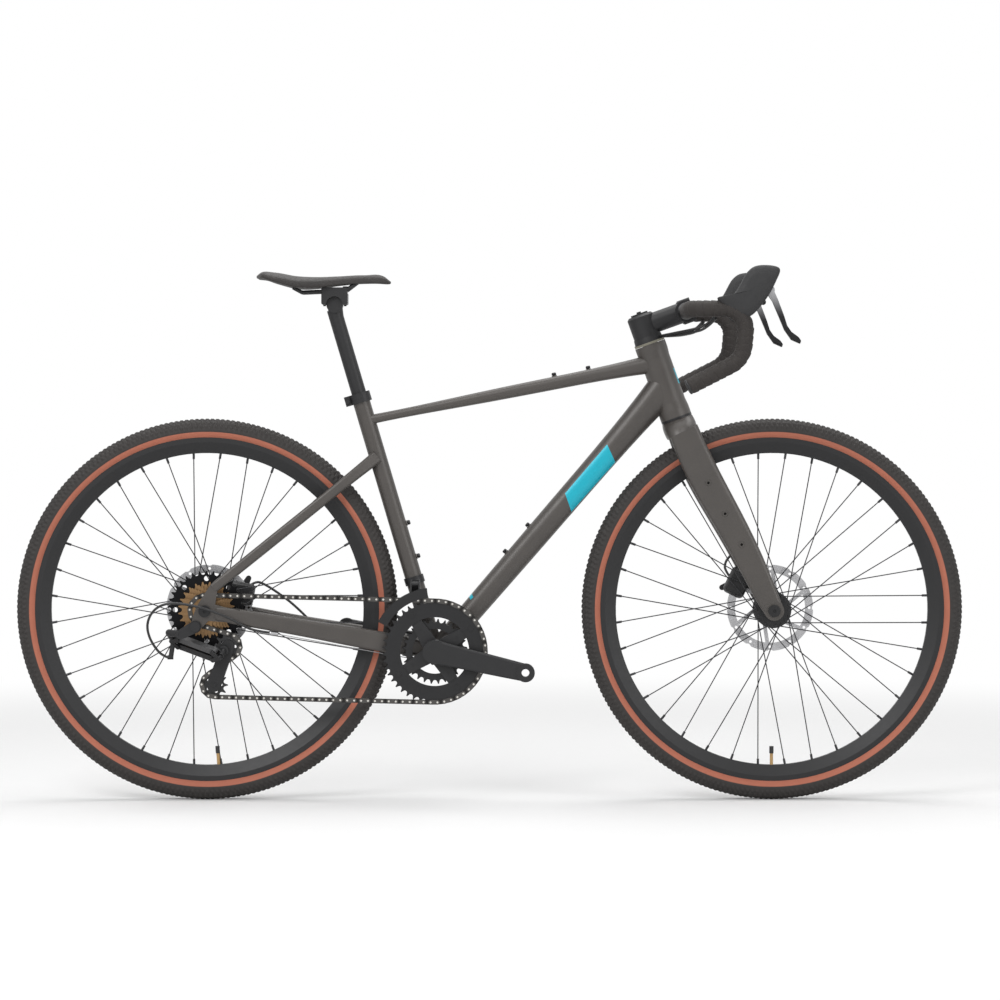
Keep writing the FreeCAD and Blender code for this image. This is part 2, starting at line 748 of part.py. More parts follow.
def make_seat_clamp():
    """Split collar round the seat tube's top, with a bolt through its ears."""
    top = seat_top + seat_up * clamp_rise
    foot = top - seat_up * clamp_height
    outer = seat_tube_radius + clamp_wall
    collar = rod(foot, top, outer)
    rear = seat_ahead * -1
    reach = outer + clamp_ear_length
    across = Y_AXIS * (clamp_ear_width / 2)
    corners = [foot - across, foot + across, top + across, top - across]
    ears = Part.Face(Part.makePolygon(corners + corners[:1])).extrude(rear * reach)
    bore = rod(foot - seat_up * cut_overrun, seat_top, seat_tube_radius)
    lip = rod(seat_top - seat_up * cut_overrun, top + seat_up * cut_overrun, seatpost_radius + clamp_lip_gap)
    gap = Y_AXIS * (seat_slot_width / 2)
    under = foot - seat_up * cut_overrun
    over = top + seat_up * cut_overrun
    corners = [under - gap, under + gap, over + gap, over - gap]
    slit = Part.Face(Part.makePolygon(corners + corners[:1])).extrude(rear * (reach + cut_overrun))
    bolt_point = share_point(foot, top, 0.5) + rear * (outer + clamp_ear_length / 2)
    bolt = cross_bar(bolt_point, clamp_ear_width / 2 + clamp_bolt_radius, clamp_bolt_radius)
    head_foot = bolt_point - Y_AXIS * (clamp_ear_width / 2)
    head = rod(head_foot, head_foot - Y_AXIS * clamp_bolt_head_height, clamp_bolt_head_radius)
    body = joined([collar, ears]).cut(bore).cut(lip).cut(slit).cut(bolt)
    return Part.makeCompound([body, joined([bolt, head])])


def make_frame_bearings():
    """Headset bearings with the lower cup's flange, and the two bottom bracket cups."""
    bore = steerer_radius + run_clearance
    upper = tube(head_top - steer_up * bearing_height, head_top, head_bore, bore)
    lower_profile = [
        (bearing_height, bore), (bearing_height, head_bore), (0, head_bore), (0, head_rim_radius),
        (crown_race_gap - headset_gap, head_rim_radius), (crown_race_gap - headset_gap, bore),
    ]
    lower = lathe(lower_profile, head_bottom, steer_up)
    cups = []
    for side in (drive_side, left_side):
        face = bb_point + Y_AXIS * (side * bb_shell_width / 2)
        cup_profile = [
            (-bb_cup_depth, spindle_radius + run_clearance), (-bb_cup_depth, bb_bore), (0, bb_bore),
            (0, bb_flange_radius), (bb_flange_width, bb_flange_radius),
            (bb_flange_width, spindle_radius + run_clearance),
        ]
        cups.append(lathe(cup_profile, face, Y_AXIS * side))
    return Part.makeCompound([upper, lower] + cups)


def make_axle(axle_point, inner_width, left_wall, right_wall):
    """Through axle: a rod with a tool head on the drive side and a nut on the left."""
    right_y = -inner_width / 2 - right_wall
    left_y = inner_width / 2 + left_wall
    bar = rod(axle_point + Y_AXIS * right_y, axle_point + Y_AXIS * left_y, axle_radius)
    head_foot = axle_point + Y_AXIS * right_y
    head = rod(head_foot, head_foot - Y_AXIS * axle_head_height, axle_head_radius)
    socket_foot = head_foot - Y_AXIS * axle_head_height
    socket = rod(socket_foot - Y_AXIS * cut_overrun, head_foot - Y_AXIS * (axle_head_height / 2), axle_radius / 2)
    nut_foot = axle_point + Y_AXIS * left_y
    nut = rod(nut_foot, nut_foot + Y_AXIS * axle_head_height, axle_nut_radius)
    return joined([bar, head, nut]).cut(socket)


def frame_parts():
    """Every fixed piece of the bare frame."""
    dropouts = make_dropouts()
    chain_table = (chainstay_shares, chainstay_ys, chainstay_heights, chainstay_widths)
    seat_table = (seatstay_shares, seatstay_ys, seatstay_heights, seatstay_widths)
    seat_solid = joined([seat_blank()] + bosses(*seat_boss_points())[0])
    down_solid = make_down_tube()
    chain_end = bb_point + chainstay_run * dropout_stay_share
    chain_slots = stay_slots(chain_end, chainstay_run, dropout_arm_radius, chainstay_heights[0])
    seat_slots = stay_slots(seatstay_foot, seatstay_run, dropout_stay_radius, seatstay_heights[0])
    chainstays = stay_pair(bb_point, chainstay_run, chain_table, chainstay_bridge_share,
                           chainstay_bridge_radius, [bb_blank(), seat_solid, down_solid, chain_slots])
    seatstays = stay_pair(seatstay_start, seatstay_run, seat_table, seatstay_bridge_share,
                          seatstay_bridge_radius, [seat_solid, seat_slots])
    return {
        "head_tube": make_head_tube(),
        "top_tube": make_top_tube(),
        "down_tube": down_solid,
        "seat_tube": make_seat_tube(),
        "bottom_bracket_shell": make_bb_shell(),
        "chainstays": chainstays,
        "seatstays": seatstays,
        "dropouts": dropouts,
        "seat_clamp": make_seat_clamp(),
        "frame_bearings": make_frame_bearings(),
        "rear_axle": make_axle(rear_axle_point, rear_hub_width, dropout_thickness, dropout_thickness),
    }


# Fork, headset cover, stem, drop bar, hoods, levers and their cables
steerer_stick = 57.0
crown_height = 30.0
crown_top_length = 57.0
crown_top_width = 57.0
crown_mid_length = 60.0
crown_mid_width = 88.0
crown_foot_length = 56.0
crown_foot_width = 104.0
crown_mid_share = 0.45
crown_top_corner_share = 0.97
tyre_room = 6.0
tyre_room_width = 52.0
blade_shares = (0.06, 0.25, 0.5, 0.72, 0.9, 1.0)
blade_bow_shares = (0.0, -0.010, -0.002, 0.004, 0.0, 0.0)
blade_depths = (55.0, 59.0, 56.0, 50.0, 43.0, 36.0)
blade_ys = (40.0, 43.0, 47.0, 52.0, 56.0, 58.0)
blade_widths = (24.0, 25.0, 24.0, 21.0, 18.0, 16.0)
blade_corner_share = 0.75
fork_tip_radius = 18.0
fork_boss_along = 128.0
fork_boss_count = 3
cover_ring_height = 5.0
cover_height = 15.0
cover_base_radius = 28.5
cover_ring_radius = 27.0
cover_top_radius = 26.0
cover_gap = 0.4
stem_radius = 25.0
stem_height = 42.0
stem_crown = 4.0
stem_bar_along = 35.0
stem_reach = 82.0
stem_arm_width = 38.0
stem_arm_height = 38.0
stem_clamp_wall = 4.5
stem_clamp_width = 44.0
stem_split_gap = 1.0
stem_bolt_radius = 2.5
stem_bolt_head_radius = 4.2
stem_bolt_spread_share = 0.68
stem_bolt_inset = 2.0
stem_bolt_length = 22.0
stem_cap_radius = 16.0
stem_cap_height = 3.0
bar_clamp_radius = 15.9
bar_radius = 11.9
bar_bulge_half = 36.0
bar_bulge_end = 58.0
bar_tops_half = 203.0
bar_reach = 100.0
bar_reach_half = 207.0
bar_hook_x = 92.0
bar_hook_half = 209.0
bar_hook_drop = 90.0
bar_end_x = -4.0
bar_end_half = 212.0
bar_end_drop = 139.0
bar_tops_bend = 40.0
bar_ramp_bend = 38.0
bar_hook_bend = 46.0
tape_start = 72.0
tape_thickness = 3.4
plug_length = 5.0
plug_radius = 14.2
hood_half_width = 16.5
hood_corner = 5.0
hood_layer_shares = (-1.0, -0.8, -0.3, 0.3, 0.8, 1.0)
hood_scale_shares = (0.66, 0.9, 1.0, 1.0, 0.9, 0.66)
hood_points = (
    (46.0, 17.6), (76.0, 27.5), (100.0, 66.0), (122.0, 77.5), (156.0, 72.5),
    (150.0, 48.0), (132.0, 16.0), (107.0, -12.0), (84.0, -14.0),
)
lever_pivot_x = 139.0
lever_pivot_z = 33.0
lever_pin_radius = 2.5
lever_boss_radius = 9.0
lever_half_width = 6.5
lever_corner = 1.6
lever_layer_shares = (-1.0, -0.6, 0.6, 1.0)
lever_scale_shares = (0.88, 1.0, 1.0, 0.88)
lever_points = (
    (138.0, 38.0), (146.0, 34.0), (154.0, 16.0), (165.0, -13.0), (171.0, -32.0), (180.0, -45.0),
    (195.0, -56.0), (193.0, -62.0), (177.0, -55.0), (165.0, -38.0), (155.0, -14.0), (143.0, 14.0), (133.0, 28.0),
)
lever_slot_gap = 0.6
lever_slot_reach = 5.0
lever_slot_rise = 14.0
lever_slot_drop = 42.0
lever_slot_front = 28.0
lever_slot_back = 20.0
shifter_pivot_x = 118.0
shifter_pivot_z = 38.0
shifter_tip_x = 129.0
shifter_tip_z = 12.0
shifter_root_radius = 7.5
shifter_tip_radius = 5.0
shifter_thickness = 4.0
shifter_pin_radius = 2.5
shifter_gap = 0.5
housing_radius = 2.3
cable_twin_drop = 5.5
cable_twin_shift = 7.0
cable_route = (
    (405.0, 200.0, 888.0), (391.0, 152.0, 870.0), (368.0, 98.0, 864.0),
    (345.0, 45.0, 860.0), (310.0, 11.0, 853.0),
)
front_hose_route = (
    (455.0, 52.0, 455.0), (446.0, 51.0, 447.0), (437.0, 49.0, 435.0), (436.0, 46.0, 420.0), (449.0, 42.0, 404.0),
)

steerer_top = head_top + steer_up * steerer_stick
blade_run = front_axle_point - crown_point
bar_centre = head_top + steer_up * stem_bar_along + steer_ahead * stem_reach
fork_inner_y = front_hub_width / 2


def blade_station(share, bow_share, y, side):
    """Centre of a fork blade at a share of the way from the crown to the axle."""
    ahead = unit(Y_AXIS.cross(blade_run)) * -1
    ahead = ahead if ahead.x > 0 else ahead * -1
    return crown_point + blade_run * share + ahead * (bow_share * blade_run.Length) + Y_AXIS * (side * y)


def make_blade(side):
    """One fork blade, wide at the crown and narrow at the axle, with three bosses on its outer face."""
    ahead = unit(Y_AXIS.cross(blade_run))
    sections = []
    for share, bow, depth, y, width in zip(blade_shares, blade_bow_shares, blade_depths, blade_ys, blade_widths):
        centre = blade_station(share, bow, y, side)
        sections.append(rounded_section(centre, Y_AXIS, ahead, width, depth, blade_corner_share))
    tip_y = fork_inner_y if side == left_side else -fork_inner_y - blade_widths[-1]
    tip = disc(front_axle_point + Y_AXIS * tip_y, fork_tip_radius, blade_widths[-1])
    return joined([loft(sections), tip])


def fork_boss_points(side):
    """Mouths of the three bosses on a fork blade's outer face."""
    points = []
    for index in range(fork_boss_count):
        share = (fork_boss_along + index * bottle_boss_pitch) / blade_run.Length
        y = tube_height_at(share, 1, blade_shares, blade_ys)
        width = tube_height_at(share, 1, blade_shares, blade_widths)
        bow = tube_height_at(share, 1, blade_shares, blade_bow_shares)
        points.append(blade_station(share, bow, y + width / 2, side))
    return points


def make_fork():
    """Fork: steerer, crown arch over the tyre, two blades and through axle ends."""
    down = steer_up * -crown_height
    table = (
        (0, crown_top_width, crown_top_length, crown_top_corner_share),
        (crown_mid_share, crown_mid_width, crown_mid_length, tube_corner_share),
        (1, crown_foot_width, crown_foot_length, blade_corner_share),
    )
    sections = []
    for share, width, length, corner_share in table:
        centre = crown_point + down * share
        sections.append(rounded_section(centre, Y_AXIS, steer_ahead, width, length, corner_share))
    crown = loft(sections)
    steerer = rod(crown_point + down * crown_mid_share, steerer_top, steerer_radius)
    body = joined([crown, make_blade(drive_side), make_blade(left_side)])
    room = Part.makeCylinder(wheel_radius + tyre_room, tyre_room_width,
                             front_axle_point - Y_AXIS * (tyre_room_width / 2), Y_AXIS)
    body = body.cut(room).cut(cross_bar(front_axle_point, fork_inner_y, hub_nose_radius + tyre_room))
    for side in (drive_side, left_side):
        body = with_bosses(body, fork_boss_points(side), Y_AXIS * side)
    body = joined([body, steerer])
    return body.cut(cross_bar(front_axle_point, front_hub_width, axle_radius))


def make_headset_cover():
    """Pale ring on the head tube and the cone above it that the cables run into."""
    ring_foot = head_top + steer_up * cover_gap
    ring = tube(ring_foot, ring_foot + steer_up * cover_ring_height, cover_base_radius, steerer_radius)
    profile = [
        (cover_ring_height, steerer_radius), (cover_ring_height, cover_ring_radius),
        (cover_height, cover_top_radius), (cover_height, steerer_radius),
    ]
    cone = lathe(profile, ring_foot, steer_up)
    return Part.makeCompound([ring, cone])


def bar_clamp_solid():
    """Outside of the stem's bar clamp."""
    return cross_bar(bar_centre, stem_clamp_width / 2, bar_clamp_radius + stem_clamp_wall)


def split_half(direction):
    """Large block on one side of the stem's split plane."""
    size = stem_clamp_width + stem_reach
    foot = bar_centre - steer_ahead * (stem_split_gap / 2 * direction)
    corners = [
        foot - Y_AXIS * size - steer_up * size, foot + Y_AXIS * size - steer_up * size,
        foot + Y_AXIS * size + steer_up * size, foot - Y_AXIS * size + steer_up * size,
    ]
    return Part.Face(Part.makePolygon(corners + corners[:1])).extrude(steer_ahead * (direction * size))


def stem_bolts():
    """Four faceplate bolts: shanks through both halves and heads in front."""
    bolts = []
    up_reach = bar_clamp_radius + stem_bolt_radius
    y_reach = stem_clamp_width / 2 * stem_bolt_spread_share
    for up_sense in (1, -1):
        for side in (drive_side, left_side):
            foot = bar_centre + steer_up * (up_sense * up_reach) + Y_AXIS * (side * y_reach)
            front = foot + steer_ahead * (stem_bolt_length / 2 - stem_bolt_inset)
            shank = rod(foot - steer_ahead * (stem_bolt_length / 2), front, stem_bolt_radius)
            head = rod(front, front + steer_ahead * stem_bolt_head_radius, stem_bolt_head_radius)
            bolts.append(joined([shank, head]))
    return bolts


def stem_ears():
    """Bosses above and below the bar that the faceplate bolts go through."""
    ears = []
    up_reach = bar_clamp_radius + stem_bolt_radius
    y_reach = stem_clamp_width / 2 * stem_bolt_spread_share
    half = stem_bolt_length / 2 - stem_bolt_inset
    for up_sense in (1, -1):
        for side in (drive_side, left_side):
            foot = bar_centre + steer_up * (up_sense * up_reach) + Y_AXIS * (side * y_reach)
            ears.append(rod(foot - steer_ahead * half, foot + steer_ahead * half, stem_bolt_head_radius))
    return ears


def make_stem():
    """Stem: round steerer clamp, arm and rear half of the bar clamp, with a top cap."""
    foot = head_top + steer_up * (cover_gap + cover_height)
    top = foot + steer_up * stem_height
    edge = stem_radius - stem_crown
    profile = [(0, 0), (0, stem_radius), (stem_height - stem_crown, stem_radius), (stem_height, edge), (stem_height, 0)]
    body = lathe(profile, foot, steer_up)
    root = head_top + steer_up * stem_bar_along
    arm = loft([
        rounded_section(root, Y_AXIS, steer_up, stem_arm_width, stem_arm_height, tube_corner_share),
        rounded_section(bar_centre, Y_AXIS, steer_up, stem_arm_width, stem_arm_height, tube_corner_share),
    ])
    shape = joined([body, arm, bar_clamp_solid()] + stem_ears())
    shape = shape.cut(cross_bar(bar_centre, stem_reach, bar_clamp_radius)).cut(split_half(1))
    shape = shape.cut(rod(foot - steer_up * cut_overrun, steerer_top, steerer_radius))
    shape = shape.cut(Part.makeCompound(stem_bolts()))
    solid = max(shape.Solids, key=lambda piece: piece.Volume)
    cap = rod(top, top + steer_up * stem_cap_height, stem_cap_radius)
    cap_bolt = rod(top + steer_up * stem_cap_height, top + steer_up * (stem_cap_height * 2), stem_bolt_head_radius)
    return Part.makeCompound([solid, joined([cap, cap_bolt])])


def make_stem_faceplate():
    """Front half of the bar clamp with its four bolts."""
    shape = joined([bar_clamp_solid()] + stem_ears())
    shape = shape.cut(cross_bar(bar_centre, stem_reach, bar_clamp_radius)).cut(split_half(-1))
    bolts = stem_bolts()
    return Part.makeCompound([shape.cut(Part.makeCompound(bolts))] + bolts)


def bar_side_points(side):
    """Corners of one half of the bar, from its middle to its end."""
    return [
        bar_centre + Vector(0, side * bar_tops_half, 0),
        bar_centre + Vector(bar_reach, side * bar_reach_half, 0),
        bar_centre + Vector(bar_hook_x, side * bar_hook_half, -bar_hook_drop),
        bar_centre + Vector(bar_end_x, side * bar_end_half, -bar_end_drop),
    ]


def make_handlebar():
    """Drop bar in one piece, thick where the stem clamps it."""
    right = bar_side_points(drive_side)
    left = bar_side_points(left_side)
    bends = [bar_tops_bend, bar_ramp_bend, bar_hook_bend]
    points = right[::-1] + left
    bar = bent_bar(points, [0] + bends[::-1] + bends + [0], bar_radius)
    profile = [
        (-bar_bulge_end, 0), (-bar_bulge_end, bar_radius), (-bar_bulge_half, bar_clamp_radius),
        (bar_bulge_half, bar_clamp_radius), (bar_bulge_end, bar_radius), (bar_bulge_end, 0),
    ]
    return joined([bar, lathe(profile, bar_centre, Y_AXIS)])


def tape_solid(side):
    """Outside of the bar tape on one half of the bar."""
    start = bar_centre + Y_AXIS * (side * tape_start)
    points = [start] + bar_side_points(side)
    radii = [0, bar_tops_bend, bar_ramp_bend, bar_hook_bend, 0]
    return bent_bar(points, radii, bar_radius + tape_thickness)


def make_bar_tape(bar):
    """Wound tape on both halves of the bar and the plugs in its ends."""
    pieces = []
    for side in (drive_side, left_side):
        pieces.append(tape_solid(side).cut(bar))
        points = bar_side_points(side)
        out = unit(points[-1] - points[-2])
        pieces.append(rod(points[-1], points[-1] + out * plug_length, plug_radius))
    return Part.makeCompound(pieces)


def side_y(side):
    """Distance of the hoods and levers from the middle plane."""
    return side * bar_reach_half


def cushion_solid(points, centre_y, half_width, corner, layer_shares, scale_shares):
    """Rounded body across the bike: one outline lofted through layers that shrink at both sides."""
    middle = sum((Vector(x, 0, z) for x, z in points), Vector(0, 0, 0)) / len(points)
    sections = []
    for layer, scale in zip(layer_shares, scale_shares):
        y = centre_y + layer * half_width
        outline = []
        for x, z in points:
            flat = middle + (Vector(x, 0, z) - middle) * scale
            outline.append(Vector(bar_centre.x + flat.x, y, bar_centre.z + flat.z))
        sections.append(Part.Wire(corner_arcs(outline, [corner * scale] * len(outline), True)))
    return loft(sections)


def lever_pivot(side):
    """Point on a brake lever's hinge line."""
    return Vector(bar_centre.x + lever_pivot_x, side_y(side), bar_centre.z + lever_pivot_z)


def shifter_pivot(side):
    """Point on a thumb shifter's hinge line, at the hood's inner face."""
    y = side_y(side) - side * hood_half_width
    return Vector(bar_centre.x + shifter_pivot_x, y, bar_centre.z + shifter_pivot_z)


def make_hood(side):
    """Rubber hood with its slot and pin for the lever, and the stud of the thumb shifter."""
    body = cushion_solid(hood_points, side_y(side), hood_half_width, hood_corner,
                         hood_layer_shares, hood_scale_shares)
    pivot = lever_pivot(side)
    half = lever_half_width + lever_slot_gap
    reach = lever_boss_radius + lever_slot_reach
    slot = disc(pivot - Y_AXIS * half, reach, half * 2)
    corner = pivot - Vector(0, half, lever_slot_drop)
    front = Part.makeBox(lever_slot_front, half * 2, lever_slot_drop + lever_slot_rise, corner)
    behind = Part.makeBox(lever_slot_back, half * 2, lever_slot_drop, corner - X_AXIS * lever_slot_back)
    pin = cross_bar(pivot, hood_half_width * hood_scale_shares[1], lever_pin_radius)
    inner = shifter_pivot(side)
    stud_out = inner - Y_AXIS * (side * (shifter_gap + shifter_thickness + shifter_gap))
    stud = rod(inner + Y_AXIS * (side * hood_half_width / 2), stud_out, shifter_pin_radius)
    body = body.cut(tape_solid(side)).cut(slot).cut(front).cut(behind)
    body = max(body.Solids, key=lambda solid: solid.Volume)
    return joined([body, pin, stud])


def make_brake_lever(side):
    """Curved brake lever blade with its hinge bore."""
    blade = cushion_solid(lever_points, side_y(side), lever_half_width, lever_corner,
                          lever_layer_shares, lever_scale_shares)
    pivot = lever_pivot(side)
    boss = disc(pivot - Y_AXIS * lever_half_width, lever_boss_radius, lever_half_width * 2)
    return joined([blade, boss]).cut(cross_bar(pivot, hood_half_width, lever_pin_radius + run_clearance))


def make_thumb_shifter(side):
    """Small shift paddle on the inner face of a hood."""
    inner = shifter_pivot(side)
    near = inner.y - side * shifter_gap
    foot_y = near if side == drive_side else near - shifter_thickness
    root = Vector(inner.x, foot_y, inner.z)
    tip = Vector(bar_centre.x + shifter_tip_x, foot_y, bar_centre.z + shifter_tip_z)
    paddle = strap(root, shifter_root_radius, tip, shifter_tip_radius, shifter_thickness)
    return paddle.cut(cross_bar(inner, hood_half_width, shifter_pin_radius + run_clearance))


def trimmed(cords, others):
    """Cords cut off where they enter other pieces."""
    pieces = []
    for piece in cords:
        for other in others:
            piece = piece.cut(other)
        pieces.append(max(piece.Solids, key=lambda solid: solid.Volume))
    return Part.makeCompound(pieces)


def make_control_cables(others):
    """Cable housings from the bar into the headset cover, two a side, and the front brake's."""
    cords = []
    for side in (drive_side, left_side):
        for drop, shift in ((0, 0), (cable_twin_drop, cable_twin_shift)):
            route = [Vector(x, side * y, z) for x, y, z in cable_route]
            twin = [point + Vector(0, -side * shift, -drop) for point in route]
            twin[-1] = route[-1] - Y_AXIS * (side * shift)
            cords.append(cord(twin, housing_radius))
    cords.append(cord([Vector(*point) for point in front_hose_route], housing_radius))
    return trimmed(cords, others)


def cockpit_parts():
    """Every piece that turns with the fork."""
    bar = make_handlebar()
    pieces = {
        "fork": make_fork(),
        "headset_cover": make_headset_cover(),
        "stem": make_stem(),
        "stem_faceplate": make_stem_faceplate(),
        "handlebar": bar,
        "bar_tape": make_bar_tape(bar),
        "lever_hoods": Part.makeCompound([make_hood(drive_side), make_hood(left_side)]),
        "front_axle": make_axle(front_axle_point, front_hub_width, blade_widths[-1], blade_widths[-1]),
    }
    for name, side in (("right", drive_side), ("left", left_side)):
        pieces["brake_lever_" + name] = make_brake_lever(side)
        pieces["thumb_shifter_" + name] = make_thumb_shifter(side)
    return pieces


# Chain, chainset, freewheel and rear derailleur
ring_teeth = 46
inner_ring_teeth = 28
pulley_teeth = 11
cog_teeth = (14, 16, 18, 20, 22, 24, 34)
cog_pitch = 5.0
chain_y = -54.0
inner_ring_shift = 8.0
roller_radius = 3.85
roller_seat_gap = 0.15
tooth_height = 3.2
tooth_land = 1.8
tooth_flank_deg = 118.0
ring_thickness = 2.0
cog_thickness = 1.8
chain_inner_gap = 2.4
chain_plate = 1.0
chain_plate_radius = 4.2
chain_pin_radius = 1.8
chain_pin_head = 0.5
chain_play = 0.12
chain_solve_steps = 60
chain_solve_span_deg = 24.0
rd_link_run_x = 66.0
rd_link_run_z = -22.0
rd_shift_x = -12.0
rd_shift_z = -29.5
rd_root_x = -48.0
rd_root_y = -55.0
rd_root_z = -50.0
rd_link_gap = 17.0
rd_link_half = 5.0
rd_link_radius = 6.0
rd_pin_radius = 2.0
rd_ear = 3.0
rd_ear_gap = 0.4
rd_block_shift = 12.5
rd_block_radius = 4.5
rd_arm_radius = 6.5
rd_knee_x = -16.0
rd_knee_y = -8.0
rd_knee_z = 12.0
rd_bolt_radius = 5.0
rd_bolt_cap_radius = 9.0
rd_bolt_cap_height = 4.0
rd_plate = 9.0
rd_plate_radius = 11.0
rd_plate_end_x = -43.0
rd_plate_end_z = -42.0
rd_adjuster_x = -64.0
rd_adjuster_z = -86.0
rd_adjuster_radius = 4.0
rd_adjuster_length = 6.0
cage_pivot_x = 34.0
cage_pivot_z = -72.0
cage_pivot_radius = 9.0
cage_pivot_pin = 4.0
cage_hub_length = 8.0
cage_guide_x = 8.0
cage_guide_z = 6.0
cage_tension_x = -23.0
cage_tension_z = -62.0
cage_half_gap = 4.6
cage_plate = 1.5
cage_plate_radius = 13.0
cage_bolt_radius = 3.0
cage_bolt_head_radius = 4.5
cage_bolt_head = 1.2
pulley_thickness = 2.1
pulley_hub_radius = 5.5
pulley_hub_gap = 0.4
pulley_window_radius = 2.6
pulley_window_circle = 13.0
pulley_window_count = 5
freewheel_core_wall = 5.0
cog_spacer_radius = 24.0
cog_window_count = 8
cog_window_circle = 57.5
cog_window_radius = 4.6

ring_point = bb_point + Y_AXIS * chain_y
cog_point = rear_axle_point + Y_AXIS * chain_y
shift_travel = Vector(rd_shift_x, (len(cog_teeth) - 1) * cog_pitch, rd_shift_z)
link_lean = -(shift_travel.Length ** 2 / 2 + rd_link_run_x * rd_shift_x + rd_link_run_z * rd_shift_z) / shift_travel.y
rd_link_run = Vector(rd_link_run_x, link_lean, rd_link_run_z)
rd_link_axis = unit(rd_link_run.cross(rd_link_run + shift_travel))
rd_root = rear_axle_point + Vector(rd_root_x, rd_root_y, rd_root_z)
cage_pivot = cog_point + Vector(cage_pivot_x, 0, cage_pivot_z)


def pitch_radius(teeth):
    """Radius of the circle that the chain's pins lie on."""
    return chain_pitch / 2 / math.sin(math.pi / teeth)


def cage_places(swing_deg):
    """Centres of the guide and tension pulleys with the cage swung about its pivot."""
    places = []
    for x, z in ((cage_guide_x, cage_guide_z), (cage_tension_x, cage_tension_z)):
        swing = math.radians(swing_deg)
        turned_x = x * math.cos(swing) - z * math.sin(swing)
        turned_z = x * math.sin(swing) + z * math.cos(swing)
        places.append(cage_pivot + Vector(turned_x, 0, turned_z))
    return places


class ChainPath:
    """Closed line of the chain: over the cog and the ring, then back round both pulleys."""

    def __init__(self, swing_deg):
        guide, tension = cage_places(swing_deg)
        small = pitch_radius(pulley_teeth)
        self.wheels = [
            (cog_point, pitch_radius(cog_teeth[0]), 1),
            (ring_point, pitch_radius(ring_teeth), 1),
            (tension, small, 1),
            (guide, small, -1),
        ]
        self.spans = []
        count = len(self.wheels)
        leaves = [self.tangent(self.wheels[i], self.wheels[(i + 1) % count]) for i in range(count)]
        for index, (centre, radius, sense) in enumerate(self.wheels):
            arrive = leaves[index - 1][1] - centre
            depart = leaves[index][0] - centre
            first = math.atan2(arrive.z, arrive.x)
            turn = (first - math.atan2(depart.z, depart.x)) * sense % (2 * math.pi)
            self.spans.append((turn * radius, centre, radius, first, -sense))
            start, end = leaves[index]
            self.spans.append(((end - start).Length, start, unit(end - start), 0, 0))
        self.length = sum(span[0] for span in self.spans)

    @staticmethod
    def tangent(first, second):
        """Where the chain leaves one wheel and meets the next."""
        start, start_radius, start_sense = first
        end, end_radius, end_sense = second
        between = end - start
        rise = start_radius * start_sense - end_radius * end_sense
        reach = math.sqrt(between.Length ** 2 - rise ** 2)
        square = between.Length ** 2
        run_x = (between.x * reach + between.z * rise) / square
        run_z = (between.z * reach - between.x * rise) / square
        normal = Vector(-run_z, 0, run_x)
        return start + normal * (start_radius * start_sense), end + normal * (end_radius * end_sense)

    def point(self, distance):
        """Point at a distance along the line."""
        left = distance % self.length
        for length, origin, size, angle, sense in self.spans:
            if left <= length:
                if sense == 0:
                    return origin + size * left
                turn = angle + sense * left / size
                return origin + Vector(size * math.cos(turn), 0, size * math.sin(turn))
            left -= length
        return self.point(0)

    def pins(self, count):
        """Distances of a row of pins, each one chain pitch from the last, and the final distance."""
        distance = 0
        distances = []
        for _ in range(count):
            distances.append(distance)
            here = self.point(distance)
            low = distance + chain_pitch / 2
            high = distance + chain_pitch * 1.5
            for _ in range(chain_solve_steps):
                middle = (low + high) / 2
                if (self.point(middle) - here).Length < chain_pitch:
                    low = middle
                else:
                    high = middle
            distance = low
        return distances, distance


def solve_chain():
    """Cage swing at which the chain closes on an even number of links."""
    count = 2 * round(ChainPath(0).length / chain_pitch / 2)

    def excess(swing_deg):
        path = ChainPath(swing_deg)
        return path.pins(count)[1] - path.length

    low = -chain_solve_span_deg
    high = chain_solve_span_deg
    low_excess = excess(low)
    for _ in range(chain_solve_steps // 2):
        middle = (low + high) / 2
        if (excess(middle) > 0) == (low_excess > 0):
            low = middle
        else:
            high = middle
    path = ChainPath(low)
    return low, path, [path.point(distance) for distance in path.pins(count)[0]]


cage_swing_deg, chain_line, chain_pins = solve_chain()
guide_point, tension_point = cage_places(cage_swing_deg)


def gap_phase(centre, teeth):
    """Angle of one tooth gap: that of the chain pin that lies best on the pitch circle."""
    radius = pitch_radius(teeth)
    pin = min(chain_pins, key=lambda place: abs((place - centre).Length - radius) + (place - centre).Length / radius)
    return math.atan2(pin.z - centre.z, pin.x - centre.x)


def toothed_face(centre, teeth, phase):
    """Sprocket outline: round roller seats with tapering teeth between them."""
    radius = pitch_radius(teeth)
    seat = roller_radius + roller_seat_gap
    flank = math.radians(tooth_flank_deg)
    step = 2 * math.pi / teeth
    tip_half = tooth_land / 2 / (radius + tooth_height)

    def around(angle, reach):
        return centre + Vector(reach * math.cos(angle), 0, reach * math.sin(angle))

    edges = []
    tips = []
    for index in range(teeth):
        angle = phase + index * step
        pin = around(angle, radius)
        sides = []
        for sense in (-1, 1):
            lean = angle + sense * flank
            sides.append(pin + Vector(seat * math.cos(lean), 0, seat * math.sin(lean)))
        floor = around(angle, radius - seat)
        edges.append((sides[0], floor, sides[1]))
        tip = angle + step / 2
        tips.append((around(tip - tip_half, radius + tooth_height), around(tip + tip_half, radius + tooth_height)))
    outline = []
    for index in range(teeth):
        start, floor, end = edges[index]
        outline.append(Part.Arc(start, floor, end).toShape())
        first, second = tips[index]
        outline.append(Part.LineSegment(end, first).toShape())
        outline.append(Part.LineSegment(first, second).toShape())
        outline.append(Part.LineSegment(second, edges[(index + 1) % teeth][0]).toShape())
    return Part.Face(Part.Wire(outline))


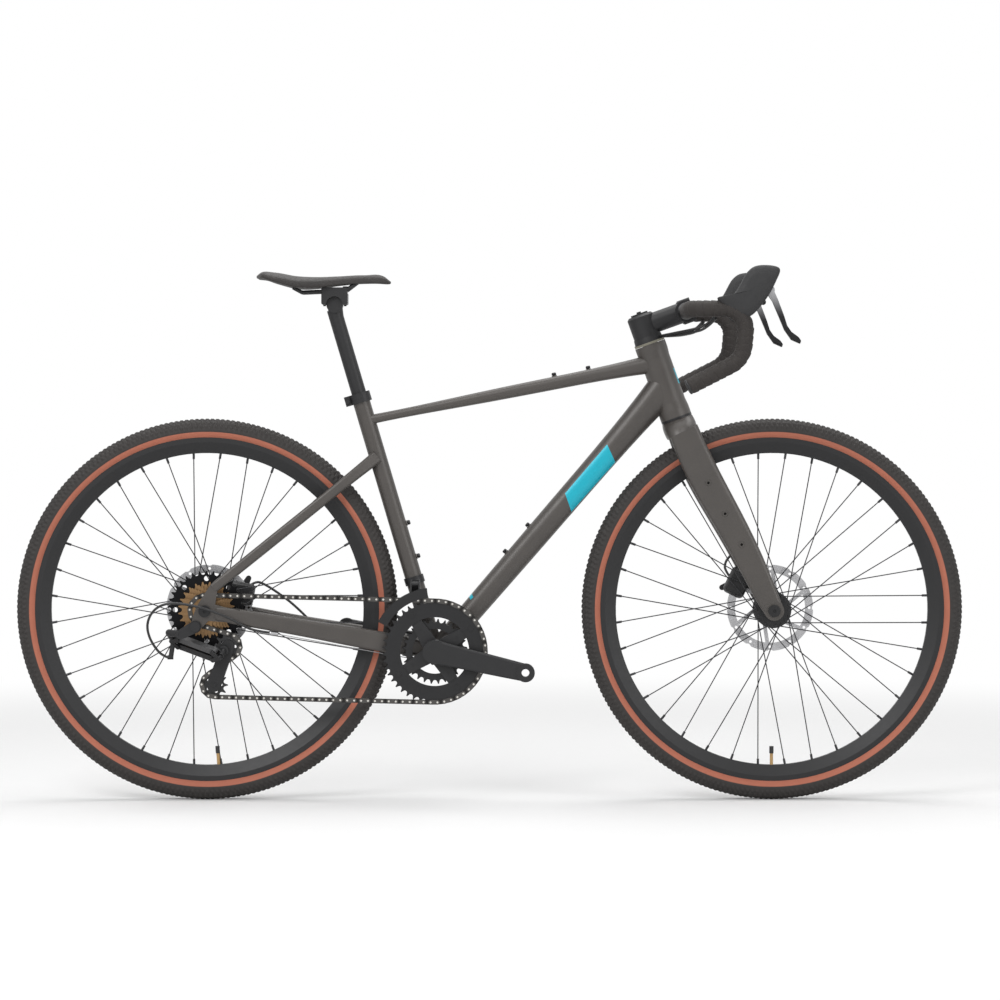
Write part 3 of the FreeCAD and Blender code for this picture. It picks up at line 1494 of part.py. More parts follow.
def sprocket(centre, teeth, phase, thickness, bore):
    """Flat toothed plate, centred on its middle plane, with a round bore."""
    blank = toothed_face(centre - Y_AXIS * (thickness / 2), teeth, phase).extrude(Y_AXIS * thickness)
    return blank.cut(cross_bar(centre, thickness, bore))


def make_chain():
    """Roller chain: outer links with riveted pins and inner links with bored rollers, in turn."""
    start = Vector(0, 0, 0)
    end = X_AXIS * chain_pitch
    half_inner = chain_inner_gap / 2
    bush_face = half_inner + chain_plate
    pin_reach = bush_face + chain_play + chain_plate + chain_pin_head
    outer = []
    inner = []
    for side in (drive_side, left_side):
        outer_y = side * (bush_face + chain_play) if side == left_side else -bush_face - chain_play - chain_plate
        inner_y = half_inner if side == left_side else -half_inner - chain_plate
        for plates, y in ((outer, outer_y), (inner, inner_y)):
            shift = Y_AXIS * y
            plates.append(strap(start + shift, chain_plate_radius, end + shift, chain_plate_radius, chain_plate))
    bores = [cross_bar(place, pin_reach, chain_pin_radius + run_clearance) for place in (start, end)]
    pins = [cross_bar(place, pin_reach, chain_pin_radius) for place in (start, end)]
    rollers = [cross_bar(place, half_inner, roller_radius) for place in (start, end)]
    outer_link = joined(outer + pins)
    inner_link = joined(inner + rollers).cut(Part.makeCompound(bores))
    links = []
    for index, pin in enumerate(chain_pins):
        following = chain_pins[(index + 1) % len(chain_pins)]
        link = (outer_link if index % 2 == 0 else inner_link).copy()
        angle = math.degrees(math.atan2(following.z - pin.z, following.x - pin.x))
        link.rotate(start, Y_AXIS, -angle)
        link.translate(pin)
        links.append(link)
    return Part.makeCompound(links)


def make_freewheel():
    """Freewheel: seven cogs on a stepped core that turns on the hub's boss."""
    bore = freewheel_boss_radius + run_clearance
    core_radius = bore + freewheel_core_wall
    pieces = []
    largest = len(cog_teeth) - 1
    for index, teeth in enumerate(cog_teeth):
        centre = cog_point + Y_AXIS * (index * cog_pitch)
        phase = gap_phase(cog_point, teeth) if index == 0 else 0
        pieces.append(sprocket(centre, teeth, phase, cog_thickness, bore))
        if index < largest:
            spacer_foot = centre + Y_AXIS * (cog_thickness / 2)
            spacer_radius = min(cog_spacer_radius, pitch_radius(teeth) - roller_radius * 2)
            spacer_radius = max(spacer_radius, core_radius - freewheel_core_wall / 2)
            pieces.append(tube(spacer_foot, spacer_foot + Y_AXIS * (cog_pitch - cog_thickness), spacer_radius, bore))
    shape = joined(pieces)
    windows = []
    last = cog_point + Y_AXIS * (largest * cog_pitch)
    for index in range(cog_window_count):
        hole = last + on_wheel(index * full_turn_deg / cog_window_count, cog_window_circle, 0)
        windows.append(cross_bar(hole, cog_thickness, cog_window_radius))
    return shape.cut(Part.makeCompound(windows))


# Chainset
crank_angle_deg = -12.6
crank_hub_radius = 22.0
crank_hub_gap = 1.0
crank_hub_end = 72.0
crank_arm_shares = (0.0, 0.45, 0.85, 1.0)
crank_arm_ys = (65.0, 70.0, 77.0, 79.0)
crank_arm_widths = (44.0, 38.0, 34.0, 32.0)
crank_arm_depths = (14.0, 13.0, 13.0, 14.0)
crank_corner_share = 0.55
crank_end_radius = 17.0
pedal_hole_radius = 7.14
spider_root_radius = 16.0
spider_tip_radius = 8.5
ring_bolt_circle = 78.0
ring_bolt_radius = 3.5
ring_bolt_head_radius = 5.0
ring_bolt_head = 1.2
ring_bore = 63.0
inner_ring_bore = 41.0
inner_bolt_circle = 47.0
spider_deg = (45.0, 135.0, 225.0, 315.0)
spindle_short = 3.0

# Front derailleur
fd_along = 134.0
fd_band_wall = 2.5
fd_band_height = 14.0
fd_pivot_x = -36.0
fd_pivot_y = -30.0
fd_pivot_z = 106.0
fd_link_y = -13.0
fd_link_z = 17.0
fd_shift = 8.0
fd_link_half = 6.0
fd_link_radius = 5.0
fd_pin_radius = 2.0
fd_ear = 2.5
fd_ear_gap = 0.4
fd_cage_inner_radius = 99.5
fd_cage_outer_radius = 117.0
fd_cage_front_deg = 97.0
fd_cage_tail_deg = 152.0
fd_cage_half_gap = 5.2
fd_cage_plate = 1.4
fd_tail_pin_radius = 2.2
fd_tail_reach = 112.0
fd_tail_pin_deg = 148.0
fd_bridge_deg = 107.0
fd_bridge_reach = 114.5
fd_bridge_radius = 2.4
fd_hanger_radius = 3.6


def place(shape, origin, along, pin_axis):
    """Copy of a shape drawn on +X with its pins on +Y, moved to a linkage's own frame."""
    third = along.cross(pin_axis)
    turn = FreeCAD.Rotation(along, pin_axis, third, "XYZ")
    copy = shape.copy()
    copy.Placement = FreeCAD.Placement(origin, turn).multiply(copy.Placement)
    return copy


def crank_direction(turn_deg):
    """Direction of a crank arm, with the square direction beside it."""
    angle = math.radians(crank_angle_deg + turn_deg)
    along = Vector(math.cos(angle), 0, math.sin(angle))
    return along, Vector(-along.z, 0, along.x)


def crank_arm(side):
    """One crank arm: hub boss, tapering arm that leans outwards and a threaded pedal eye."""
    along, beside = crank_direction(0 if side == drive_side else full_turn_deg / 2)
    sections = []
    for share, y, width, depth in zip(crank_arm_shares, crank_arm_ys, crank_arm_widths, crank_arm_depths):
        centre = bb_point + along * (crank_length * share) + Y_AXIS * (side * y)
        sections.append(rounded_section(centre, beside, Y_AXIS, width, depth, crank_corner_share))
    hub_start = bb_shell_width / 2 + bb_flange_width + crank_hub_gap
    hub = rod(bb_point + Y_AXIS * (side * hub_start), bb_point + Y_AXIS * (side * crank_hub_end), crank_hub_radius)
    eye = bb_point + along * crank_length
    near = crank_arm_ys[-1] - crank_arm_depths[-1] / 2
    far = near + crank_arm_depths[-1]
    end = rod(eye + Y_AXIS * (side * near), eye + Y_AXIS * (side * far), crank_end_radius)
    pieces = [loft(sections), hub, end]
    if side == drive_side:
        foot_y = chain_y + ring_thickness / 2
        thickness = inner_ring_shift - ring_thickness
        for turn_deg in spider_deg:
            out = crank_direction(turn_deg)[0]
            root = bb_point + Y_AXIS * foot_y
            pieces.append(strap(root, spider_root_radius, root + out * ring_bolt_circle, spider_tip_radius, thickness))
    arm = joined(pieces).cut(cross_bar(eye, far + cut_overrun, pedal_hole_radius))
    arm = arm.cut(cross_bar(bb_point, crank_hub_end - spindle_short, spindle_radius))
    return arm.cut(Part.makeCompound(ring_bolts()))


def ring_bolts():
    """Chainring bolts: four through the outer ring and four through the inner ring."""
    bolts = []
    foot_y = chain_y - ring_thickness / 2
    end_y = chain_y + inner_ring_shift + ring_thickness / 2
    for turn_deg in spider_deg:
        out = crank_direction(turn_deg)[0]
        outer = bb_point + out * ring_bolt_circle
        inner = bb_point + out * inner_bolt_circle
        outer_end = end_y - ring_thickness
        shank = rod(outer + Y_AXIS * foot_y, outer + Y_AXIS * outer_end, ring_bolt_radius)
        head = rod(outer + Y_AXIS * foot_y, outer + Y_AXIS * (foot_y - ring_bolt_head), ring_bolt_head_radius)
        bolts.append(joined([shank, head]))
        inner_foot = foot_y + ring_thickness
        shank = rod(inner + Y_AXIS * inner_foot, inner + Y_AXIS * end_y, ring_bolt_radius)
        head = rod(inner + Y_AXIS * end_y, inner + Y_AXIS * (end_y + ring_bolt_head), ring_bolt_head_radius)
        bolts.append(joined([shank, head]))
    return bolts


def make_chainrings():
    """Outer and inner chainring with their bolts."""
    bolts = ring_bolts()
    outer = sprocket(ring_point, ring_teeth, gap_phase(ring_point, ring_teeth), ring_thickness, ring_bore)
    inner_point = ring_point + Y_AXIS * inner_ring_shift
    inner = sprocket(inner_point, inner_ring_teeth, math.radians(crank_angle_deg), ring_thickness, inner_ring_bore)
    holes = Part.makeCompound(bolts)
    return Part.makeCompound([outer.cut(holes), inner.cut(holes)] + bolts)


def make_spindle():
    """Crank spindle."""
    half = crank_hub_end - spindle_short
    return cross_bar(bb_point, half, spindle_radius)


def rd_frame(shape):
    """Move a derailleur piece from its own frame to the bike."""
    return place(shape, rd_root, unit(rd_link_run), rd_link_axis)


def rd_link(offset):
    """One derailleur link: a bar with a bore at each end."""
    length = rd_link_run.Length
    foot = Vector(0, -rd_link_half, offset)
    end = Vector(length, -rd_link_half, offset)
    bar = strap(foot, rd_link_radius, end, rd_link_radius, rd_link_half * 2)
    bores = [cross_bar(Vector(x, 0, offset), rd_link_half * 2, rd_pin_radius + run_clearance) for x in (0, length)]
    return rd_frame(bar.cut(Part.makeCompound(bores)))


def rd_ears(pin_x, block_x):
    """Two ears with the pins of both links, and the block behind them, in the links' own frame."""
    near = rd_link_half + rd_ear_gap
    half = near + rd_ear
    middle = -rd_link_gap / 2
    pieces = [cross_bar(Vector(block_x, 0, middle), half, rd_block_radius)]
    for offset in (0, -rd_link_gap):
        pieces.append(cross_bar(Vector(pin_x, 0, offset), half, rd_pin_radius))
        for y in (near, -half):
            pin = Vector(pin_x, y, offset)
            heel = Vector(block_x, y, middle)
            pieces.append(strap(pin, rd_block_radius, heel, rd_block_radius - rd_pin_radius / 2, rd_ear))
    return rd_frame(joined(pieces)), rd_frame(Part.Vertex(Vector(block_x, 0, middle))).Point


def make_derailleur_bracket():
    """Upper knuckle: bolt in the hanger, plate, arm to the link pins and the cable's adjuster."""
    ears, block = rd_ears(0, -rd_block_shift)
    face_y = -dropout_inner_y - dropout_thickness
    hanger = rear_axle_point + Vector(hanger_x, face_y, hanger_z)
    plate_end = rear_axle_point + Vector(rd_plate_end_x, face_y, rd_plate_end_z)
    out = Y_AXIS * -rd_plate
    body = strap(hanger + out, rd_plate_radius, plate_end + out, rd_bolt_cap_radius, rd_plate)
    knee = rd_frame(Part.Vertex(Vector(rd_knee_x, rd_knee_y, rd_knee_z))).Point
    upper_arm = rod(plate_end + out / 2, knee, rd_arm_radius)
    arm = [upper_arm, Part.makeSphere(rd_arm_radius, knee), rod(knee, block, rd_arm_radius)]
    bolt = rod(hanger + Y_AXIS * dropout_thickness, hanger, rd_bolt_radius)
    cap = rod(hanger + out, hanger + out - Y_AXIS * rd_bolt_cap_height, rd_bolt_cap_radius)
    adjuster_root = rear_axle_point + Vector(rd_adjuster_x, block.y, rd_adjuster_z)
    tail = rod(block, adjuster_root, rd_block_radius)
    adjuster_end = adjuster_root - X_AXIS * rd_adjuster_length
    adjuster = rod(adjuster_root + X_AXIS * rd_block_radius, adjuster_end, rd_adjuster_radius)
    return joined([body, bolt, cap, ears, tail, adjuster] + arm)


def make_derailleur_knuckle():
    """Lower knuckle: the links' far pins and the barrel that the cage turns on."""
    length = rd_link_run.Length
    ears, block = rd_ears(length, length + rd_block_shift)
    face_y = chain_y - cage_half_gap - cage_plate
    barrel_y = face_y - cage_bolt_head - side_clearance
    barrel_foot = Vector(cage_pivot.x, barrel_y, cage_pivot.z)
    barrel_end = barrel_foot - Y_AXIS * cage_hub_length
    barrel = rod(barrel_foot, barrel_end, cage_pivot_radius)
    pin = rod(barrel_end, Vector(cage_pivot.x, face_y + cage_plate, cage_pivot.z), cage_pivot_pin)
    arm = rod(barrel_end + Y_AXIS * (cage_hub_length / 2), block, rd_arm_radius)
    return joined([barrel, pin, arm, ears])


def make_derailleur_cage():
    """Cage: two plates, with the bolts that carry the guide and tension pulleys."""
    pieces = []
    for side in (drive_side, left_side):
        foot_y = chain_y + cage_half_gap if side == left_side else chain_y - cage_half_gap - cage_plate
        top = Vector(guide_point.x, foot_y, guide_point.z)
        low = Vector(tension_point.x, foot_y, tension_point.z)
        pieces.append(strap(top, cage_plate_radius - cage_bolt_head, low, cage_plate_radius, cage_plate))
        if side == drive_side:
            hub = disc(Vector(cage_pivot.x, foot_y, cage_pivot.z), cage_pivot_radius, cage_plate)
            bore = cross_bar(Vector(cage_pivot.x, foot_y, cage_pivot.z), cage_plate * 2, cage_pivot_pin + run_clearance)
            pieces[0] = joined([pieces[0], hub]).cut(bore)
    half = cage_half_gap + cage_plate
    for centre in (guide_point, tension_point):
        pieces.append(cross_bar(centre, half, cage_bolt_radius))
        pieces.append(rod(centre - Y_AXIS * half, centre - Y_AXIS * (half + cage_bolt_head), cage_bolt_head_radius))
    return joined(pieces)


def make_pulley(centre):
    """Jockey wheel: eleven teeth, a hub and round windows."""
    blank = sprocket(centre, pulley_teeth, gap_phase(centre, pulley_teeth), pulley_thickness, cage_bolt_radius)
    hub = cross_bar(centre, cage_half_gap - pulley_hub_gap, pulley_hub_radius)
    windows = []
    for index in range(pulley_window_count):
        hole = centre + on_wheel(index * full_turn_deg / pulley_window_count, pulley_window_circle, 0)
        windows.append(cross_bar(hole, pulley_thickness, pulley_window_radius))
    bore = cross_bar(centre, cage_half_gap, cage_bolt_radius + run_clearance)
    return joined([blank, hub]).cut(Part.makeCompound(windows)).cut(bore)


fd_root = bb_point + Vector(fd_pivot_x, fd_pivot_y, fd_pivot_z)
fd_run = Vector(0, fd_link_y, fd_link_z)
fd_head = fd_root + fd_run


def fd_frame(shape, origin):
    """Move a front derailleur piece, drawn on +X with its pins on +Y, to the bike."""
    return place(shape, origin, unit(fd_run), X_AXIS)


def fd_ear_pair(pin_point, foot_y, foot_z):
    """Two ears beside a front derailleur link, from its pin down to what carries them, and the pin."""
    foot = Vector(pin_point.x, foot_y, foot_z)
    run = foot - pin_point
    near = fd_link_half + fd_ear_gap
    pieces = [rod(pin_point - X_AXIS * (near + fd_ear), pin_point + X_AXIS * (near + fd_ear), fd_pin_radius)]
    for x in (near, -near - fd_ear):
        ear = strap(Y_AXIS * x, fd_link_radius, Vector(run.Length, x, 0), fd_hanger_radius, fd_ear)
        pieces.append(place(ear, pin_point, unit(run), X_AXIS))
    return pieces


def make_fd_link():
    """Front derailleur link: a short bar with a bore at each end."""
    length = fd_run.Length
    far = Vector(length, -fd_link_half, 0)
    bar = strap(Y_AXIS * -fd_link_half, fd_link_radius, far, fd_link_radius, fd_link_half * 2)
    bores = [cross_bar(Vector(x, 0, 0), fd_link_half * 2, fd_pin_radius + run_clearance) for x in (0, length)]
    return fd_frame(bar.cut(Part.makeCompound(bores)), fd_root)


def make_fd_body():
    """Band round the seat tube with a lug that carries the link's lower pin."""
    centre = bb_point + seat_up * fd_along
    half = seat_up * (fd_band_height / 2)
    outer = seat_tube_radius + fd_band_wall
    band = rod(centre - half, centre + half, outer)
    anchor_y = -outer + fd_hanger_radius
    ends = X_AXIS * (fd_link_half + fd_ear_gap + fd_ear)
    anchor = Vector(fd_root.x, anchor_y, centre.z)
    bridge = rod(anchor - ends, anchor + ends, fd_hanger_radius)
    pieces = [band, bridge] + fd_ear_pair(fd_root, anchor_y, centre.z)
    bore = rod(centre - half * 2, centre + half * 2, seat_tube_radius)
    return joined(pieces).cut(bore)


def arc_band(y, thickness, inner, outer, from_deg, to_deg):
    """Flat curved band about the bottom bracket."""
    middle = (from_deg + to_deg) / 2
    corner = [on_wheel(angle, reach, 0) for reach in (inner, outer) for angle in (from_deg, middle, to_deg)]
    corner = [bb_point + Y_AXIS * y + point for point in corner]
    edges = [
        Part.Arc(corner[0], corner[1], corner[2]).toShape(),
        Part.LineSegment(corner[2], corner[5]).toShape(),
        Part.Arc(corner[5], corner[4], corner[3]).toShape(),
        Part.LineSegment(corner[3], corner[0]).toShape(),
    ]
    return Part.Face(Part.Wire(edges)).extrude(Y_AXIS * thickness)


def make_fd_cage():
    """Front derailleur cage: two curved plates about the chain, joined above it and at the tail."""
    pieces = []
    for y in (chain_y + fd_cage_half_gap, chain_y - fd_cage_half_gap - fd_cage_plate):
        pieces.append(arc_band(y, fd_cage_plate, fd_cage_inner_radius, fd_cage_outer_radius,
                               fd_cage_front_deg, fd_cage_tail_deg))
    half = fd_cage_half_gap + fd_cage_plate
    for angle, reach, radius in ((fd_tail_pin_deg, fd_tail_reach, fd_tail_pin_radius),
                                 (fd_bridge_deg, fd_bridge_reach, fd_bridge_radius)):
        pieces.append(cross_bar(ring_point + on_wheel(angle, reach, 0), half, radius))
    plate_y = chain_y + fd_cage_half_gap + fd_cage_plate / 2
    crown_z = bb_point.z + math.sqrt(fd_bridge_reach ** 2 - fd_pivot_x ** 2)
    pieces += fd_ear_pair(fd_head, plate_y, crown_z)
    return joined(pieces)


def drive_parts():
    """Every piece of the chainset, the chain, the freewheel and both derailleurs."""
    return {
        "crank_arms": Part.makeCompound([crank_arm(drive_side), crank_arm(left_side)]),
        "chainrings": make_chainrings(),
        "crank_spindle": make_spindle(),
        "chain": make_chain(),
        "freewheel_cogs": make_freewheel(),
        "derailleur_bracket": make_derailleur_bracket(),
        "derailleur_outer_link": rd_link(0),
        "derailleur_inner_link": rd_link(-rd_link_gap),
        "derailleur_knuckle": make_derailleur_knuckle(),
        "derailleur_cage": make_derailleur_cage(),
        "guide_pulley": make_pulley(guide_point),
        "tension_pulley": make_pulley(tension_point),
        "front_derailleur_body": make_fd_body(),
        "front_derailleur_link": make_fd_link(),
        "front_derailleur_cage": make_fd_cage(),
    }


# Disc calipers
caliper_length = 46.0
caliper_height = 36.0
caliper_half_width = 16.0
caliper_corner = 8.0
caliper_slot = 3.4
caliper_slot_room = 3.0
caliper_layer_shares = (-1.0, -0.75, 0.75, 1.0)
caliper_scale_shares = (0.84, 1.0, 1.0, 0.84)
pad_length = 22.0
pad_height = 18.0
pad_thickness = 0.4
arm_pin_radius = 3.0
arm_root_radius = 9.0
arm_tip_radius = 5.0
arm_thickness = 4.0
arm_gap = 0.4
arm_reach = 30.0
rear_caliper_x = 57.0
rear_caliper_z = 27.0
rear_caliper_lean_deg = -10.0
rear_arm_deg = 62.0
foot_radius = 7.0
front_caliper_x = -60.0
front_caliper_z = 47.0
front_caliper_lean_deg = 64.0
front_arm_deg = 200.0

# Seatpost, saddle and clamp
seatpost_insert = 150.0
saddle_clamp_x = -184.0
saddle_clamp_z = 635.0
post_head_radius = 15.0
post_head_half = 17.0
cradle_length = 48.0
cradle_half_width = 27.0
cradle_height = 9.0
cradle_drop = 4.0
cradle_corner = 3.0
rail_radius = 3.5
rail_half_gap = 22.0
rail_points = ((-75.0, 8.0), (-60.0, 0.0), (21.0, 3.5), (53.0, 27.0))
rail_rear_half_gap = 30.0
rail_nose_half_gap = 9.0
rail_bend = 9.0
clamp_screw_radius = 2.5
clamp_screw_head_radius = 4.5
clamp_screw_length = 34.0
clamp_screw_reach = 19.0
saddle_length = 246.0
saddle_tail_x = -143.0
saddle_shares = (0.0, 0.04, 0.14, 0.3, 0.45, 0.6, 0.8, 0.95, 1.0)
saddle_half_widths = (40.0, 60.0, 71.0, 66.0, 46.0, 31.0, 23.0, 19.0, 12.0)
saddle_tops = (40.0, 44.5, 44.0, 37.5, 36.0, 37.5, 40.0, 37.0, 29.0)
saddle_thicknesses = (12.0, 16.0, 24.0, 28.0, 26.0, 22.0, 20.0, 17.0, 9.0)
saddle_pocket_room = 4.0
saddle_corner_share = 0.9

# Cables held along the frame
wire_radius = 0.8
cable_stop_points = ((117.0, -58.5, -40.0), (133.0, -57.0, -42.5))
cable_stop_radius = 3.6
rd_housing_route = (
    (90.0, -67.0, -36.0), (70.0, -78.0, -26.0), (51.0, -84.0, -14.0), (15.0, -90.0, 1.5), (-14.0, -92.0, 10.0),
    (-43.0, -92.0, 15.5), (-66.0, -90.0, 15.5), (-86.0, -85.0, 8.0), (-100.0, -77.0, -8.0), (-106.0, -68.0, -28.0),
    (-102.0, -58.0, -50.0), (-91.0, -50.0, -70.0), (-80.0, -46.0, -82.0),
)
bb_guide_point = (-4.0, -12.0, -23.0)
bb_guide_half_width = 9.0
bb_guide_radius = 4.0
rear_hose_route = (
    (66.0, 55.0, 34.0), (84.0, 58.0, 50.0), (104.0, 58.0, 42.0), (130.0, 55.0, 25.0), (158.0, 53.0, 4.0),
    (180.0, 52.0, -18.0),
)

seatpost_axis_top = bb_point + seat_up * (seat_tube_length - seatpost_insert)
clamp_point = bb_point + Vector(saddle_clamp_x, 0, saddle_clamp_z)


def spread(points, centre, lean_deg):
    """Outline points turned about a centre in the plane of the wheels."""
    lean = math.radians(lean_deg)
    turned = []
    for x, z in points:
        turned.append((
            centre.x + x * math.cos(lean) - z * math.sin(lean),
            centre.z + x * math.sin(lean) + z * math.cos(lean),
        ))
    return turned


def layered_body(points, centre, half_width, corner, layer_shares, scale_shares):
    """Rounded body across the bike from an outline in the plane of the wheels."""
    sections = []
    for layer, scale in zip(layer_shares, scale_shares):
        outline = []
        for x, z in points:
            flat = Vector(centre.x + (x - centre.x) * scale, 0, centre.z + (z - centre.z) * scale)
            outline.append(Vector(flat.x, centre.y + layer * half_width, flat.z))
        sections.append(Part.Wire(corner_arcs(outline, [corner * scale] * len(outline), True)))
    return loft(sections)


def make_caliper(centre, axle_point, rotor_y, lean_deg):
    """Caliper body about the rotor, with two pads in its slot, the arm's pin and two mounting bolts."""
    half_x = caliper_length / 2
    half_z = caliper_height / 2
    outline = ((-half_x, -half_z), (half_x, -half_z), (half_x, half_z), (-half_x, half_z))
    body = layered_body(spread(outline, centre, lean_deg), centre, caliper_half_width, caliper_corner,
                        caliper_layer_shares, caliper_scale_shares)
    slot_foot = axle_point + Y_AXIS * (rotor_y - caliper_slot / 2)
    slot = disc(slot_foot, rotor_radius + caliper_slot_room, caliper_slot)
    pin_foot = centre + Y_AXIS * (caliper_half_width / 2)
    pin_end = centre + Y_AXIS * (caliper_half_width + arm_gap + arm_thickness + arm_gap)
    pin = rod(pin_foot, pin_end, arm_pin_radius)
    pieces = [joined([body, pin]).cut(slot)]
    corners = ((-pad_length / 2, -pad_height / 2), (pad_length / 2, -pad_height / 2),
               (pad_length / 2, pad_height / 2), (-pad_length / 2, pad_height / 2))
    for y in (rotor_y - caliper_slot / 2, rotor_y + caliper_slot / 2 - pad_thickness):
        points = [Vector(x, y, z) for x, z in spread(corners, centre, lean_deg)]
        pieces.append(Part.Face(Part.makePolygon(points + points[:1])).extrude(Y_AXIS * pad_thickness))
    return pieces


def make_arm(centre, arm_deg):
    """Caliper arm on its pin."""
    root = centre + Y_AXIS * (caliper_half_width + arm_gap)
    tip = root + on_wheel(arm_deg, arm_reach, 0)
    bar = strap(root, arm_root_radius, tip, arm_tip_radius, arm_thickness)
    return bar.cut(cross_bar(root, arm_thickness * 2, arm_pin_radius + run_clearance))


rear_caliper_point = rear_axle_point + Vector(rear_caliper_x, rear_rotor_y, rear_caliper_z)
front_caliper_point = front_axle_point + Vector(front_caliper_x, front_rotor_y, front_caliper_z)


def brake_parts(chainstays, dropouts, fork):
    """Both calipers and their arms, seated on the chainstay and on the fork blade."""
    rear = make_caliper(rear_caliper_point, rear_axle_point, rear_rotor_y, rear_caliper_lean_deg)
    front = make_caliper(front_caliper_point, front_axle_point, front_rotor_y, front_caliper_lean_deg)
    foot_top = rear_caliper_point + Vector(0, caliper_half_width / 2, 0)
    foot_low = foot_top - Z_AXIS * (caliper_height + cut_overrun)
    foot = rod(foot_top, foot_low, foot_radius).cut(chainstays)
    foot = max(foot.Solids, key=lambda solid: solid.CenterOfMass.z)
    slot_foot = rear_axle_point + Y_AXIS * (rear_rotor_y - caliper_slot / 2)
    slot = disc(slot_foot, rotor_radius + caliper_slot_room, caliper_slot)
    rear_body = joined([rear[0], foot.cut(slot)]).cut(chainstays).cut(dropouts)
    rear[0] = max(rear_body.Solids, key=lambda solid: solid.Volume)
    bracket_end = front_caliper_point + steer_ahead * (caliper_length + cut_overrun) + Y_AXIS * caliper_half_width / 2
    bracket_start = front_caliper_point + Y_AXIS * caliper_half_width / 2
    bracket = rod(bracket_start, bracket_end, foot_radius).cut(fork)
    bracket = min(bracket.Solids, key=lambda solid: solid.CenterOfMass.x)
    slot_foot = front_axle_point + Y_AXIS * (front_rotor_y - caliper_slot / 2)
    slot = disc(slot_foot, rotor_radius + caliper_slot_room, caliper_slot)
    front[0] = max(joined([front[0], bracket.cut(slot)]).cut(fork).Solids, key=lambda solid: solid.Volume)
    return {
        "rear_caliper": Part.makeCompound(rear),
        "rear_caliper_arm": make_arm(rear_caliper_point, rear_arm_deg),
        "front_caliper": Part.makeCompound(front),
        "front_caliper_arm": make_arm(front_caliper_point, front_arm_deg),
    }


def make_seatpost():
    """Seatpost with a round cross head for the saddle clamp."""
    top = clamp_point
    post_end = seat_top + seat_up * ((clamp_point - seat_top).dot(seat_up) - post_head_radius / 2)
    post = rod(seatpost_axis_top, post_end, seatpost_radius)
    head = cross_bar(top, post_head_half, post_head_radius)
    neck = rod(post_end - seat_up * post_head_radius, top, seatpost_radius)
    return joined([post, neck, head])


def rail_route(side):
    """Corners of one saddle rail."""
    spreads = (rail_rear_half_gap, rail_half_gap, rail_half_gap, rail_nose_half_gap)
    foot = clamp_point + Z_AXIS * (post_head_radius + cradle_drop + rail_radius)
    return [foot + Vector(x, side * y, z) for (x, z), y in zip(rail_points, spreads)]


def make_rails():
    """Two bent saddle rails."""
    rails = []
    for side in (drive_side, left_side):
        rails.append(bent_bar(rail_route(side), [0, rail_bend, rail_bend, 0], rail_radius))
    return Part.makeCompound(rails)


def make_saddle_clamp(rails):
    """Lower and upper cradle on the post's head, gripping both rails, with two screws."""
    head = cross_bar(clamp_point, post_head_half * 2, post_head_radius + run_clearance)
    half_x = cradle_length / 2
    rail_level = post_head_radius + cradle_drop + rail_radius
    pieces = []
    for low, high in ((0, rail_level), (rail_level, rail_level + cradle_height)):
        corners = ((-half_x, low), (half_x, low), (half_x, high), (-half_x, high))
        points = spread(corners, clamp_point, 0)
        block = plate(points, clamp_point.y - cradle_half_width, cradle_half_width * 2, cradle_corner)
        pieces.append(block.cut(head).cut(rails))
    screws = []
    for sense in (-1, 1):
        top = clamp_point + Vector(sense * clamp_screw_reach, 0, rail_level + cradle_height)
        screw = rod(top - Z_AXIS * clamp_screw_length, top, clamp_screw_radius)
        cap = rod(top, top + Z_AXIS * clamp_screw_radius, clamp_screw_head_radius)
        screws.append(joined([screw, cap]))
    cut = Part.makeCompound(screws)
    return Part.makeCompound([piece.cut(cut) for piece in pieces] + screws)


def make_saddle(rails):
    """Saddle: padded shell, wide and raised at the tail, narrow at the nose, hollow below."""
    sections = []
    tail = clamp_point + Vector(saddle_tail_x, 0, 0)
    for share, half, top, thick in zip(saddle_shares, saddle_half_widths, saddle_tops, saddle_thicknesses):
        centre = tail + Vector(share * saddle_length, 0, top - thick / 2 + post_head_radius)
        sections.append(rounded_section(centre, Y_AXIS, Z_AXIS, half * 2, thick, saddle_corner_share))
    level = post_head_radius + cradle_drop + rail_radius + cradle_height + clamp_screw_radius + saddle_pocket_room
    half_x = cradle_length / 2 + saddle_pocket_room
    half_y = cradle_half_width + saddle_pocket_room
    pocket = Part.makeBox(half_x * 2, half_y * 2, level, clamp_point - Vector(half_x, half_y, 0))
    return loft(sections).cut(rails).cut(pocket)


def make_frame_cables(others):
    """Derailleur housing loop with its stop, the bare wire under the chainstay and the rear brake's housing."""
    stop = [rear_axle_point + Vector(*point) for point in cable_stop_points]
    guide = bb_point + Vector(*bb_guide_point)
    across = Y_AXIS * bb_guide_half_width
    block = rod(guide - across, guide + across, bb_guide_radius).cut(bb_blank())
    wire = rod(stop[0], guide, wire_radius)
    fixed = joined([rod(stop[0], stop[1], cable_stop_radius).cut(others[0]), wire, block])
    route = [rear_axle_point + Vector(*point) for point in rd_housing_route]
    knuckle = rd_ears(0, -rd_block_shift)[1]
    adjuster = rear_axle_point + Vector(rd_adjuster_x - rd_adjuster_length, 0, rd_adjuster_z)
    loop = cord([stop[0]] + route + [Vector(adjuster.x, knuckle.y, adjuster.z)], housing_radius)
    hose = cord([rear_axle_point + Vector(*point) for point in rear_hose_route], housing_radius)
    return Part.makeCompound([fixed] + trimmed([loop, hose], others + [fixed]).Solids)


